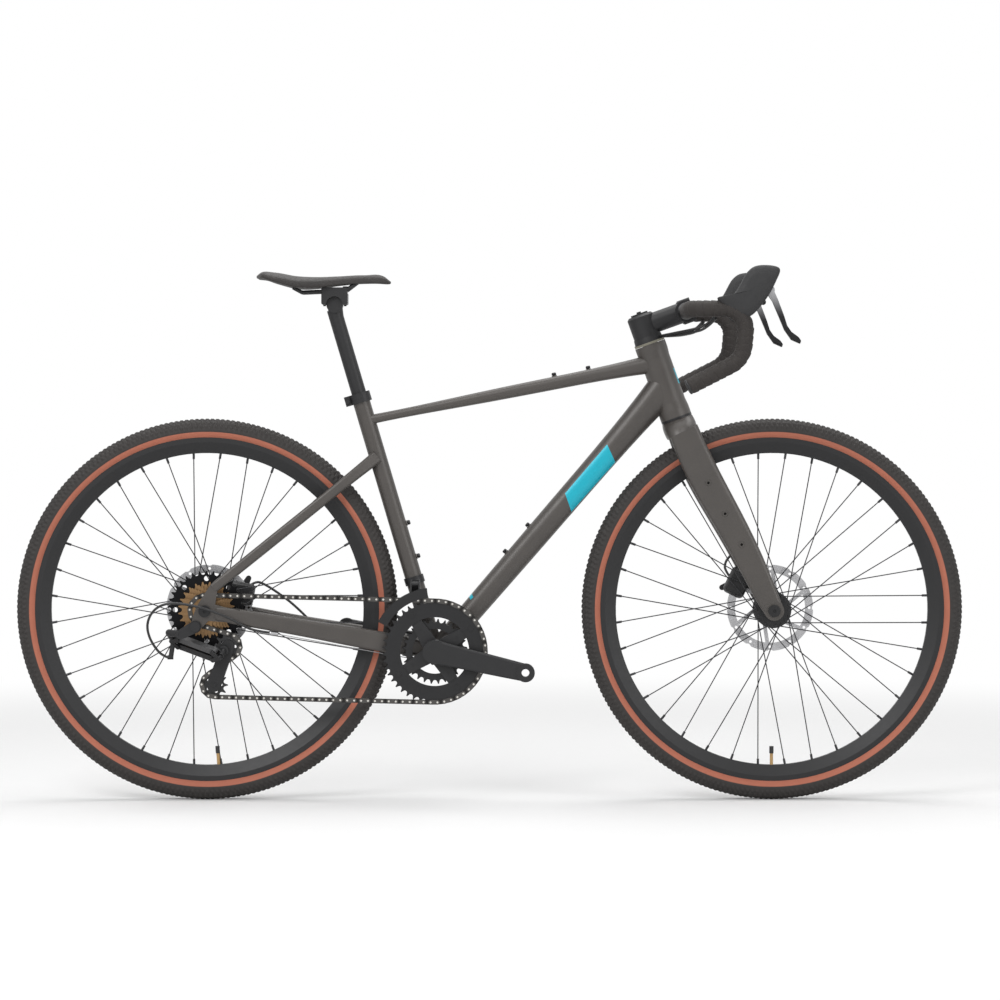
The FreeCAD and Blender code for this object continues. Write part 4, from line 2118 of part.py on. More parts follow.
def main():
    """Build every node and write it."""
    nodes = {}
    nodes.update(wheel_parts("front", front_axle_point, front_valve_deg, front_wheel_sizes))
    nodes.update(wheel_parts("rear", rear_axle_point, rear_valve_deg, rear_wheel_sizes))
    nodes.update(frame_parts())
    nodes.update(cockpit_parts())
    nodes.update(drive_parts())
    nodes.update(brake_parts(nodes["chainstays"], nodes["dropouts"], nodes["fork"]))
    rails = make_rails()
    nodes["seatpost"] = make_seatpost()
    nodes["saddle_rails"] = rails
    nodes["saddle_clamp"] = make_saddle_clamp(rails)
    nodes["saddle"] = make_saddle(rails)
    touched = [nodes[name] for name in ("chainstays", "rear_caliper", "derailleur_bracket")]
    nodes["frame_cables"] = make_frame_cables(touched)
    entered = [nodes[name] for name in ("fork", "front_caliper", "bar_tape", "headset_cover")]
    nodes["control_cables"] = make_control_cables(entered)
    os.makedirs("parts", exist_ok=True)
    for name, shape in nodes.items():
        shape.exportStep("parts/" + name + ".step")
        print(name, len(shape.Solids), "solids", round(shape.Volume / 1000, 1), "cm3", shape.isValid())
    print(len(nodes), "nodes")


main()
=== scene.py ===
"""Looks of a drop bar gravel bicycle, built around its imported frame."""

import json
import logging
import math
from dataclasses import dataclass, field
from enum import Enum
from typing import Any, Optional, Sequence, Union

import bpy
import numpy as np
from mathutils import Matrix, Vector

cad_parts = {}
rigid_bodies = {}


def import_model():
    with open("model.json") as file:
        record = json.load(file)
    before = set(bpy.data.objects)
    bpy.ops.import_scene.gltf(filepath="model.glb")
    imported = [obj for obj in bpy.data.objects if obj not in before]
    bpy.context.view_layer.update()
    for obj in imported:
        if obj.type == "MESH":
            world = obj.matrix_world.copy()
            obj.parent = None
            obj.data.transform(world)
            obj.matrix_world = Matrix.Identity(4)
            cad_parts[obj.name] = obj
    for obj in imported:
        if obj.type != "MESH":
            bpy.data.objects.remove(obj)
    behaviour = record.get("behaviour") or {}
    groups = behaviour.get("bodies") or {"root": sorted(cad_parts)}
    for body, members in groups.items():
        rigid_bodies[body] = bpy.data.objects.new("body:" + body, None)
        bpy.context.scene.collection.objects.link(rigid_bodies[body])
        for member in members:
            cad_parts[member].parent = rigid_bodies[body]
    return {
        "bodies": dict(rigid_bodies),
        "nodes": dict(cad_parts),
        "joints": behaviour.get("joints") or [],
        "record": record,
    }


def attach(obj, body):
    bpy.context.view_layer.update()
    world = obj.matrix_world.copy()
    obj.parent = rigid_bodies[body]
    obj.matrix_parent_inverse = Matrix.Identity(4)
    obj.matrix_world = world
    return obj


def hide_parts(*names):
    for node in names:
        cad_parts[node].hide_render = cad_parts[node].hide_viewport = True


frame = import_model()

log = logging.getLogger("gravel_bike")

Colour = tuple[float, float, float]
Point2 = tuple[float, float]
Point3 = tuple[float, float, float]
WHITE = (1, 1, 1, 1)
COAT_ROUGHNESS = 0.25
ARC_STEPS = 24
MM = 0.001

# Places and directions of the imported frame, in metres
FRONT_AXLE: Point3 = (0.52, 0.0, 0.351)
REAR_AXLE: Point3 = (-0.52, 0.0, 0.351)
CRANK_AXLE: Point3 = (-0.10065, 0.0, 0.276)
BAR_CENTRE: Point3 = (0.36041, 0.0, 0.89907)
CLAMP_POINT: Point3 = (-0.28465, 0.0, 0.911)
HEAD_TOP: Point3 = (0.29512, 0.0, 0.83836)
STEER_UP: Point3 = (-0.33874, 0.0, 0.94088)


class Side(Enum):
    """Side of the bicycle, as the sign of Y: the drive side faces the camera."""

    RIGHT = -1
    LEFT = 1


class Signal:
    """A shader socket that takes part in Python expressions; each operator adds one Math node."""

    def __init__(self, graph: "Graph", socket: Optional[bpy.types.NodeSocket]) -> None:
        """Wrap a socket of a graph; an output node has none."""
        self.graph = graph
        self.socket = socket

    def _math(self, operation: str, first: Any, second: Any) -> "Signal":
        """One Math node on two operands."""
        return self.graph.node("ShaderNodeMath", {"operation": operation}, {0: first, 1: second})

    def __add__(self, other: Union["Signal", float]) -> "Signal":
        """Sum."""
        return self._math("ADD", self, other)

    __radd__ = __add__

    def __sub__(self, other: Union["Signal", float]) -> "Signal":
        """Difference."""
        return self._math("SUBTRACT", self, other)

    def __rsub__(self, other: float) -> "Signal":
        """Difference from a number."""
        return self._math("SUBTRACT", other, self)

    def __mul__(self, other: Union["Signal", float]) -> "Signal":
        """Product."""
        return self._math("MULTIPLY", self, other)

    __rmul__ = __mul__

    def above(self, edge: float, soft: float) -> "Signal":
        """Smooth mask that is 1 above an edge.

        Args:
            edge: value at the middle of the step.
            soft: half the width of the step.

        Returns:
            The mask, from 0 to 1.
        """
        limits = {0: self, 1: edge - soft, 2: edge + soft}
        return self.graph.node("ShaderNodeMapRange", {"interpolation_type": "SMOOTHSTEP"}, limits)


class Graph:
    """Node graph of one material or of the world."""

    def __init__(self, owner: Union[bpy.types.Material, bpy.types.World]) -> None:
        """Start with none of the owner's own nodes.

        Args:
            owner: the material or world that the nodes belong to.
        """
        owner.use_nodes = True
        self.owner = owner
        self.tree = owner.node_tree
        self.tree.nodes.clear()

    def node(
        self,
        kind: str,
        settings: Optional[dict[str, Any]] = None,
        inputs: Optional[dict[Union[str, int], Any]] = None,
        output: Union[str, int] = 0,
    ) -> Signal:
        """Add any node.

        Args:
            kind: the node's type.
            settings: properties, set before the sockets.
            inputs: values or signals of its sockets.
            output: the socket to hand on.

        Returns:
            The chosen output.
        """
        made = self.tree.nodes.new(kind)
        for key, value in (settings or {}).items():
            setattr(made, key, value)
        for key, value in (inputs or {}).items():
            if isinstance(value, Signal):
                self.tree.links.new(value.socket, made.inputs[key])
            else:
                made.inputs[key].default_value = value
        return Signal(self, made.outputs[output] if made.outputs else None)

    def place(self) -> Signal:
        """Object coordinates: metres in the bicycle's own frame."""
        return self.node("ShaderNodeTexCoord", output="Object")

    def axes(self) -> tuple[Signal, Signal, Signal]:
        """X, Y and Z of the object coordinates.

        Returns:
            The three values, in metres.
        """
        split = self.node("ShaderNodeSeparateXYZ", None, {0: self.place()})
        outputs = split.socket.node.outputs
        return tuple(Signal(self, outputs[index]) for index in range(3))

    def reach(self, centre: Point3) -> Signal:
        """Distance from a wheel's axle line, in the plane of the wheels.

        Args:
            centre: a point of the axle.

        Returns:
            The distance in metres.
        """
        flat = self.node("ShaderNodeVectorMath", {"operation": "MULTIPLY"}, {0: self.place(), 1: (1, 0, 1)})
        middle = (centre[0], 0.0, centre[2])
        return self.node("ShaderNodeVectorMath", {"operation": "DISTANCE"}, {0: flat, 1: middle}, "Value")

    def noise(self, scale: float, detail: float = 4.0) -> Signal:
        """Smooth noise from 0 to 1 on the object coordinates."""
        inputs = {"Vector": self.place(), "Scale": scale, "Detail": detail}
        return self.node("ShaderNodeTexNoise", None, inputs)

    def mix(self, mask: Union[Signal, float], low: Any, high: Any) -> Signal:
        """Colour between two colours or colour signals.

        Args:
            mask: 0 for the low colour, 1 for the high one.
            low: colour or colour signal.
            high: colour or colour signal.

        Returns:
            The mixed colour.
        """
        low = low if isinstance(low, Signal) else (*low, 1.0)
        high = high if isinstance(high, Signal) else (*high, 1.0)
        return self.node("ShaderNodeMix", {"data_type": "RGBA"}, {0: mask, 6: low, 7: high}, 2)

    def surface(
        self, colour: Signal, rough: Signal, metal: float, height: Signal, depth: float, coat: float,
    ) -> bpy.types.Material:
        """Close the graph with a Principled shader.

        Args:
            colour: base colour.
            rough: roughness.
            metal: metallic value.
            height: relief, from 0 to 1.
            depth: metres of relief at height 1.
            coat: weight of the clear coat.

        Returns:
            The finished material.
        """
        bump = self.node("ShaderNodeBump", None, {"Strength": 1.0, "Distance": depth, "Height": height})
        inputs = {
            "Base Color": colour, "Roughness": rough, "Metallic": metal, "Normal": bump,
            "Coat Weight": coat, "Coat Roughness": COAT_ROUGHNESS,
        }
        shader = self.node("ShaderNodeBsdfPrincipled", None, inputs)
        self.close(shader)
        return self.owner

    def close(self, shader: Signal) -> None:
        """Link a shader to the owner's output."""
        whose = "World" if isinstance(self.owner, bpy.types.World) else "Material"
        self.node(f"ShaderNodeOutput{whose}", None, {0: shader})


@dataclass(frozen=True)
class Finish:
    """Finish of a surface: a mottled colour, uneven gloss and a fine relief. Lengths are in metres."""

    name: str
    colour: Colour
    shade: Colour
    rough: tuple[float, float] = (0.35, 0.5)
    metal: float = 0.0
    coat: float = 0.0
    mottle: float = 60.0
    grain: float = 1400.0
    depth: float = 0.00003
    gloss_fineness: float = 2.5
    grain_detail: float = 2.0

    def tint(self, graph: Graph) -> Signal:
        """Base colour: two tones mixed by noise."""
        return graph.mix(graph.noise(self.mottle), self.shade, self.colour)

    def gloss(self, graph: Graph) -> Signal:
        """Roughness, between the finish's two values by noise."""
        low, high = self.rough
        return graph.noise(self.mottle * self.gloss_fineness) * (high - low) + low

    def relief(self, graph: Graph) -> Signal:
        """Height of the fine relief."""
        return graph.noise(self.grain, self.grain_detail)

    @property
    def slot(self) -> str:
        """Material slot of the record: the finish's name without a wheel's own prefix."""
        return self.name.removeprefix("front_").removeprefix("rear_")

    def material(self) -> bpy.types.Material:
        """The finish as a material, made once.

        Returns:
            The material.
        """
        label = f"finish_{self.name}"
        known = bpy.data.materials.get(label)
        if known:
            return known
        graph = Graph(bpy.data.materials.new(label))
        colour, rough, height = self.tint(graph), self.gloss(graph), self.relief(graph)
        return graph.surface(colour, rough, self.metal, height, self.depth, self.coat)


@dataclass(frozen=True)
class Block:
    """Four cornered block of colour on a tube's sides, in X and Z, corners turning from X towards Z."""

    corners: tuple[Point2, Point2, Point2, Point2]
    soft: float = 0.0003

    def mask(self, graph: Graph) -> Signal:
        """Product of four half planes, one inside each edge of the block.

        Args:
            graph: the material's graph.

        Returns:
            The mask, 1 inside the block.
        """
        x, _, z = graph.axes()
        inside: Optional[Signal] = None
        for start, end in zip(self.corners, self.corners[1:] + self.corners[:1]):
            run = (end[0] - start[0], end[1] - start[1])
            length = math.hypot(*run)
            away = x * (-run[1] / length) + z * (run[0] / length)
            level = (start[1] * run[0] - start[0] * run[1]) / length
            half = away.above(level, self.soft)
            inside = half if inside is None else inside * half
        return inside


@dataclass(frozen=True)
class Paint(Finish):
    """Satin metallic paint with fine flakes and blocks of a second colour."""

    blocks: tuple[Block, ...] = ()
    block_colour: Colour = (0.0, 0.4, 0.52)
    flake_scale: float = 2600.0
    flake_edge: float = 0.66
    flake_soft: float = 0.05
    flake_share: float = 0.2
    flake_gain: float = 3.0

    def tint(self, graph: Graph) -> Signal:
        """Paint with flakes, then the blocks over it.

        Args:
            graph: the material's graph.

        Returns:
            The base colour.
        """
        flakes = graph.noise(self.flake_scale, detail=1.0).above(self.flake_edge, self.flake_soft)
        sparkle = tuple(self.flake_gain * part for part in self.colour)
        base = graph.mix(flakes * self.flake_share, super().tint(graph), sparkle)
        for block in self.blocks:
            base = graph.mix(block.mask(graph), base, self.block_colour)
        return base


@dataclass(frozen=True)
class Turned(Finish):
    """Metal with fine rings about an axle, as left by turning or brushing on a wheel."""

    centre: Point3 = (0.0, 0.0, 0.0)
    rings: float = 900.0
    ring_detail: float = 3.0
    ring_share: float = 0.6

    def ring_noise(self, graph: Graph) -> Signal:
        """Noise that changes only with the distance from the axle.

        Args:
            graph: the material's graph.

        Returns:
            Values from 0 to 1.
        """
        spot = graph.node("ShaderNodeCombineXYZ", None, {0: graph.reach(self.centre)})
        inputs = {"Vector": spot, "Scale": self.rings, "Detail": self.ring_detail}
        return graph.node("ShaderNodeTexNoise", None, inputs)

    def tint(self, graph: Graph) -> Signal:
        """Two tones, partly in rings and partly mottled.

        Args:
            graph: the material's graph.

        Returns:
            The base colour.
        """
        rings, mottle = self.ring_noise(graph), graph.noise(self.mottle)
        tone = rings * self.ring_share + mottle * (1 - self.ring_share)
        return graph.mix(tone, self.shade, self.colour)

    def relief(self, graph: Graph) -> Signal:
        """Rings."""
        return self.ring_noise(graph)


@dataclass(frozen=True)
class TyreRubber(Finish):
    """Dark tread rubber with a tan sidewall below the shoulder."""

    centre: Point3 = (0.0, 0.0, 0.0)
    wall: Colour = (0.47, 0.15, 0.09)
    wall_reach: float = 0.3266
    wall_soft: float = 0.0006
    wall_dark: float = 0.72
    weave: float = 700.0
    blotch: float = 40.0

    def tint(self, graph: Graph) -> Signal:
        """Tan wall inside the shoulder, dusty tread outside it.

        Args:
            graph: the material's graph.

        Returns:
            The base colour.
        """
        reach = graph.reach(self.centre)
        weave = graph.noise(self.weave, detail=2.0) * 0.5 + graph.noise(self.blotch) * 0.5
        wall = graph.mix(weave, tuple(self.wall_dark * part for part in self.wall), self.wall)
        return graph.mix(reach.above(self.wall_reach, self.wall_soft), wall, super().tint(graph))


@dataclass(frozen=True)
class ValveTube(Finish):
    """Inner tube whose valve shows: a brass stem with a black cap."""

    centre: Point3 = (0.0, 0.0, 0.0)
    brass: Colour = (0.48, 0.3, 0.12)
    cap_reach: float = 0.2668
    cap_soft: float = 0.0002
    stem_reach: float = 0.309
    stem_soft: float = 0.0005
    thread: float = 7000.0

    def tint(self, graph: Graph) -> Signal:
        """Brass between the cap and the tube.

        Args:
            graph: the material's graph.

        Returns:
            The base colour.
        """
        reach = graph.reach(self.centre)
        past_cap = reach.above(self.cap_reach, self.cap_soft)
        stem = past_cap * (1 - reach.above(self.stem_reach, self.stem_soft))
        return graph.mix(stem, super().tint(graph), self.brass)

    def relief(self, graph: Graph) -> Signal:
        """Thread of the stem, as rings along it."""
        along = graph.reach(self.centre) * self.thread
        return graph.node("ShaderNodeMath", {"operation": "SINE"}, {0: along}) * 0.5 + 0.5


@dataclass(frozen=True)
class Leather(Finish):
    """Synthetic leather: rounded pebbles between fine creases."""

    pebbles: float = 900.0
    crease: float = 0.08
    pebble_share: float = 0.7

    def relief(self, graph: Graph) -> Signal:
        """Distance to the nearest pebble's edge, with some noise.

        Args:
            graph: the material's graph.

        Returns:
            Heights from 0 to 1.
        """
        inputs = {"Vector": graph.place(), "Scale": self.pebbles}
        cells = graph.node("ShaderNodeTexVoronoi", {"feature": "DISTANCE_TO_EDGE"}, inputs)
        pebbles = cells.above(self.crease, self.crease)
        return pebbles * self.pebble_share + super().relief(graph) * (1 - self.pebble_share)


@dataclass(frozen=True)
class CorkTape(Finish):
    """Cork bar tape: a row of small holes in each turn, on the piece's own map."""

    grain_detail: float = 3.0
    hole: float = 0.28
    hole_soft: float = 0.1
    hole_share: float = 0.6
    uneven: float = 0.25

    def relief(self, graph: Graph) -> Signal:
        """Small holes in rows, with the cork's grain.

        Args:
            graph: the material's graph.

        Returns:
            Heights from 0 to 1.
        """
        spot = graph.node("ShaderNodeTexCoord", output="UV")
        inputs = {"Vector": spot, "Scale": 1.0, "Randomness": self.uneven}
        cells = graph.node("ShaderNodeTexVoronoi", {"feature": "F1"}, inputs)
        holes = cells.above(self.hole, self.hole_soft)
        return holes * self.hole_share + super().relief(graph) * (1 - self.hole_share)


@dataclass(frozen=True)
class Lever(Finish):
    """Lever blade: dark alloy, with a painted highlight that makes it light grey towards its root."""

    # light grey of the painted highlight on the blade's upper part
    bright: Colour = (0.42, 0.42, 0.43)
    painted_highlight_level: float = 0.912
    painted_highlight_soft: float = 0.03

    def tint(self, graph: Graph) -> Signal:
        """Painted highlight: light grey above a level, dark alloy below it."""
        height = graph.axes()[2]
        return graph.mix(
            height.above(self.painted_highlight_level, self.painted_highlight_soft), super().tint(graph), self.bright,
        )


@dataclass(frozen=True)
class Banded(Finish):
    """Finish with a band of another colour between two levels along the steering line."""

    band: Colour = (0.19, 0.18, 0.14)
    low: float = 0.0
    high: float = 0.0045
    soft: float = 0.0002

    def tint(self, graph: Graph) -> Signal:
        """Band colour between the two levels.

        Args:
            graph: the material's graph.

        Returns:
            The base colour.
        """
        x, _, z = graph.axes()
        level = (x - HEAD_TOP[0]) * STEER_UP[0] + (z - HEAD_TOP[2]) * STEER_UP[2]
        inside = level.above(self.low, self.soft) * (1 - level.above(self.high, self.soft))
        return graph.mix(inside, super().tint(graph), self.band)


@dataclass(frozen=True)
class Cogs(Turned):
    """Bronze cogs with the largest one black."""

    black: Colour = (0.014, 0.014, 0.015)
    split: float = -0.0265
    soft: float = 0.0003

    def tint(self, graph: Graph) -> Signal:
        """Black inward of a plane across the axle."""
        y = graph.axes()[1]
        return graph.mix(y.above(self.split, self.soft), super().tint(graph), self.black)


@dataclass(frozen=True)
class ChainSteel(Finish):
    """Dark inner plates, grey outer plates and bright pin heads, by distance from the chain line."""

    line: float = -0.054
    inner: Colour = (0.02, 0.019, 0.018)
    head: Colour = (0.62, 0.6, 0.56)
    plate_reach: float = 0.00226
    head_reach: float = 0.00336
    soft: float = 0.00003

    def tint(self, graph: Graph) -> Signal:
        """Inner plates, outer plates, then the heads.

        Args:
            graph: the material's graph.

        Returns:
            The base colour.
        """
        y = graph.axes()[1]
        away = graph.node("ShaderNodeMath", {"operation": "ABSOLUTE"}, {0: y - self.line})
        plates = graph.mix(away.above(self.plate_reach, self.soft), self.inner, super().tint(graph))
        return graph.mix(away.above(self.head_reach, self.soft), plates, self.head)


@dataclass
class Sheet:
    """Skin through rows of points: columns close round, rows close round or end in a fan."""

    name: str
    points: np.ndarray
    loop_rows: bool = False
    chart: Optional[np.ndarray] = None

    def quads(self) -> np.ndarray:
        """Corner numbers of the quads, from row and column numbers by plain arithmetic.

        Returns:
            Four point numbers a quad.
        """
        rows, columns = self.points.shape[:2]
        row = np.arange(rows if self.loop_rows else rows - 1)[:, None]
        column = np.arange(columns)[None, :]
        after, beside = (row + 1) % rows, (column + 1) % columns
        corners = (
            row * columns + column, row * columns + beside,
            after * columns + beside, after * columns + column,
        )
        return np.stack(corners, axis=-1).reshape(-1, 4)

    def fans(self) -> tuple[np.ndarray, np.ndarray]:
        """Middle points of the two end rows, and the triangles that close them.

        Returns:
            The two points, and three point numbers a triangle; both empty where the rows close round.
        """
        rows, columns = self.points.shape[:2]
        if self.loop_rows:
            return np.zeros((0, 3)), np.zeros((0, 3), dtype=int)
        ring = np.arange(columns)
        beside = np.roll(ring, -1)
        last = (rows - 1) * columns
        first_fan = np.stack((beside, ring, np.full(columns, rows * columns)), axis=-1)
        last_fan = np.stack((last + ring, last + beside, np.full(columns, rows * columns + 1)), axis=-1)
        middles = np.stack((self.points[0].mean(axis=0), self.points[-1].mean(axis=0)))
        return middles, np.concatenate((first_fan, last_fan))

    def mesh(self) -> bpy.types.Mesh:
        """The skin as a smooth mesh whose faces look outward, found from the sign of its volume.

        Returns:
            The mesh.
        """
        quads = self.quads()
        middles, fans = self.fans()
        spots = np.concatenate((self.points.reshape(-1, 3), middles))
        corner = spots[quads]
        volume = np.einsum("ij,ij->", corner[:, 0], np.cross(corner[:, 1], corner[:, 2]))
        volume += np.einsum("ij,ij->", corner[:, 0], np.cross(corner[:, 2], corner[:, 3]))
        if volume < 0:
            quads, fans = quads[:, ::-1], fans[:, ::-1]
        mesh = bpy.data.meshes.new(self.name)
        mesh.from_pydata(spots.tolist(), [], quads.tolist() + fans.tolist())
        mesh.polygons.foreach_set("use_smooth", np.ones(len(mesh.polygons), dtype=bool))
        if self.chart is not None:
            flat = np.concatenate((self.chart.reshape(-1, 2), np.zeros((len(middles), 2))))
            corners = np.empty(len(mesh.loops), dtype=np.int32)
            mesh.loops.foreach_get("vertex_index", corners)
            layer = mesh.uv_layers.new(name="map")
            layer.data.foreach_set("uv", flat[corners].ravel())
        mesh.update()
        return mesh

    def build(self, finish: Finish, body: str, *nodes: str) -> bpy.types.Object:
        """Put the skin in the scene.

        Args:
            finish: its finish.
            body: the body it rides.
            nodes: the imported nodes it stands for.

        Returns:
            The new object.
        """
        thing = bpy.data.objects.new(self.name, self.mesh())
        bpy.context.scene.collection.objects.link(thing)
        thing.data.materials.append(finish.material())
        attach(thing, body)
        if nodes:
            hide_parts(*nodes)
        log.info("piece %s: %d faces", self.name, len(thing.data.polygons))
        return thing


def smooth_curve(shares: Sequence[float], values: Sequence[float], where: np.ndarray) -> np.ndarray:
    """Smooth curve through a table: cubic pieces whose slopes are the table's mean slopes.

    Args:
        shares: places of the table, rising.
        values: values at those places.
        where: places to read.

    Returns:
        The curve's values.
    """
    known, height = np.asarray(shares, float), np.asarray(values, float)
    slope = np.gradient(height, known)
    spot = np.clip(np.searchsorted(known, where) - 1, 0, len(known) - 2)
    span = known[spot + 1] - known[spot]
    t = (where - known[spot]) / span
    rise = (2 * t**3 - 3 * t**2 + 1) * height[spot] + (3 * t**2 - 2 * t**3) * height[spot + 1]
    lean = (t**3 - 2 * t**2 + t) * slope[spot] + (t**3 - t**2) * slope[spot + 1]
    return rise + lean * span


def full_turn(count: int) -> np.ndarray:
    """Even angles of one full turn, without its end."""
    return np.linspace(0, 2 * math.pi, count, endpoint=False)


def even_path(points: np.ndarray, step: float) -> np.ndarray:
    """The same line in even steps, read off by the distance along it.

    Args:
        points: points of the line.
        step: longest distance between the new points.

    Returns:
        The new points.
    """
    far = np.concatenate(([0.0], np.cumsum(np.linalg.norm(np.diff(points, axis=0), axis=1))))
    where = np.linspace(0, far[-1], int(far[-1] / step) + 2)
    return np.stack([np.interp(where, far, points[:, axis]) for axis in range(3)], axis=-1)


def rounded_path(corners: Sequence[Point3], radii: Sequence[float], step: float) -> np.ndarray:
    """Line through corners, each inner corner replaced by an arc that touches both legs.

    Args:
        corners: corners of the line.
        radii: radius at each inner corner.
        step: distance between the points.

    Returns:
        The line's points.
    """
    known = np.asarray(corners, float)
    parts = [known[:1]]
    for before, corner, after, radius in zip(known, known[1:], known[2:], radii):
        inward = (before - corner) / np.linalg.norm(before - corner)
        outward = (after - corner) / np.linalg.norm(after - corner)
        half = math.acos(float(np.clip(inward @ outward, -1, 1))) / 2
        middle = inward + outward
        centre = corner + middle / np.linalg.norm(middle) * (radius / math.sin(half))
        turn = np.linspace(half - math.pi / 2, math.pi / 2 - half, ARC_STEPS)[:, None]
        across = (inward - outward) / np.linalg.norm(inward - outward)
        inner = (corner - centre) / np.linalg.norm(corner - centre)
        parts.append(centre + radius * (np.cos(turn) * inner - np.sin(turn) * across))
    parts.append(known[-1:])
    return even_path(np.concatenate(parts), step)


def carried(path: np.ndarray, radius: np.ndarray, angle: np.ndarray, lean: Point3) -> np.ndarray:
    """Rings carried along a path: at each angle, out from the path by the radius.

    Args:
        path: points of the path.
        radius: radius for each path point and angle.
        angle: angles round the path.
        lean: a direction never along the path, from which the rings are turned.

    Returns:
        Rows of points, one row a ring.
    """
    along = np.gradient(path, axis=0)
    along /= np.linalg.norm(along, axis=1, keepdims=True)
    out = np.cross(along, np.asarray(lean))
    out /= np.linalg.norm(out, axis=1, keepdims=True)
    up = np.cross(along, out)
    turned = np.cos(angle)[None, :, None] * out[:, None] + np.sin(angle)[None, :, None] * up[:, None]
    return path[:, None] + radius[:, :, None] * turned


def eased(value: np.ndarray, low: float, high: float) -> np.ndarray:
    """Smooth step from 0 below the low end to 1 above the high end."""
    t = np.clip((value - low) / (high - low), 0, 1)
    return t * t * (3 - 2 * t)


@dataclass
class Tyre:
    """Tyre: a round section with rows of tread blocks and smooth tan walls, open at the beads.

    Sizes are in millimetres.

    Attributes:
        name: the piece's name.
        node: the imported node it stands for.
        body: the wheel it rides.
        axle: middle of the wheel.
    """

    name: str
    node: str
    body: str
    axle: Point3
    reach: float = 331.0
    section: float = 20.0
    bead_angle: float = 146.0
    wall: float = 2.2
    blocks: int = 230
    block_steps: int = 7
    outer_steps: int = 46
    inner_steps: int = 8
    block_height: float = 1.6
    block_soft: float = 0.06
    row_soft: float = 1.5
    slant: float = 0.006
    shoulder: tuple[float, float] = (84.0, 92.0)
    shoulder_fill: float = 0.6
    rows: tuple[tuple[float, float, float, float], ...] = (
        (0.0, 12.0, 0.62, 0.0), (26.0, 9.0, 0.58, 0.5), (49.0, 10.0, 0.64, 0.0), (73.0, 8.0, 0.5, 0.5),
    )

    def tread(self, turn: np.ndarray, across: np.ndarray) -> np.ndarray:
        """Height of the tread: the highest of several rows of blocks.

        A row's block stands where the place along the tread, counted in blocks and slanted by the
        angle across, is in the block's part of its step, and the angle across is near the row's middle.

        Args:
            turn: place along the tread, in blocks.
            across: angle from the crown, in degrees.

        Returns:
            Heights from 0 to 1.
        """
        height = np.zeros(np.broadcast(turn, across).shape)
        side = np.abs(across)
        for middle, half, part, shift in self.rows:
            place = np.abs((turn + shift + side * self.slant) % 1.0 - 0.5)
            along = 1 - eased(place, part / 2 - self.block_soft, part / 2 + self.block_soft)
            beside = 1 - eased(np.abs(side - middle), half - self.row_soft, half + self.row_soft)
            height = np.maximum(height, along * beside)
        return height

    def points(self) -> np.ndarray:
        """Rings round the axle: the outer arc from bead to bead with the tread, then the inner arc back.

        Returns:
            Rows of points, one row a step round the wheel.
        """
        count = self.blocks * self.block_steps
        turn = np.arange(count)[:, None]
        outer = np.linspace(-self.bead_angle, self.bead_angle, self.outer_steps)
        inner = np.linspace(self.bead_angle, -self.bead_angle, self.inner_steps)
        low = 1 - self.tread(turn / self.block_steps, outer[None, :])
        low *= 1 - eased(np.abs(outer), *self.shoulder)[None, :] * self.shoulder_fill
        thick = np.broadcast_to(self.section - self.wall, (count, self.inner_steps))
        radius = np.concatenate((self.section - self.block_height * low, thick), axis=1)
        angle = np.radians(np.concatenate((outer, inner)))[None, :]
        far = self.reach + radius * np.cos(angle)
        round_axle = turn * (2 * math.pi / count)
        spots = (far * np.cos(round_axle), radius * np.sin(angle), far * np.sin(round_axle))
        return np.stack(spots, axis=-1) * MM + np.asarray(self.axle)

    def build(self, finish: Finish) -> None:
        """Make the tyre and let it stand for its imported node."""
        Sheet(self.name, self.points(), loop_rows=True).build(finish, self.body, self.node)


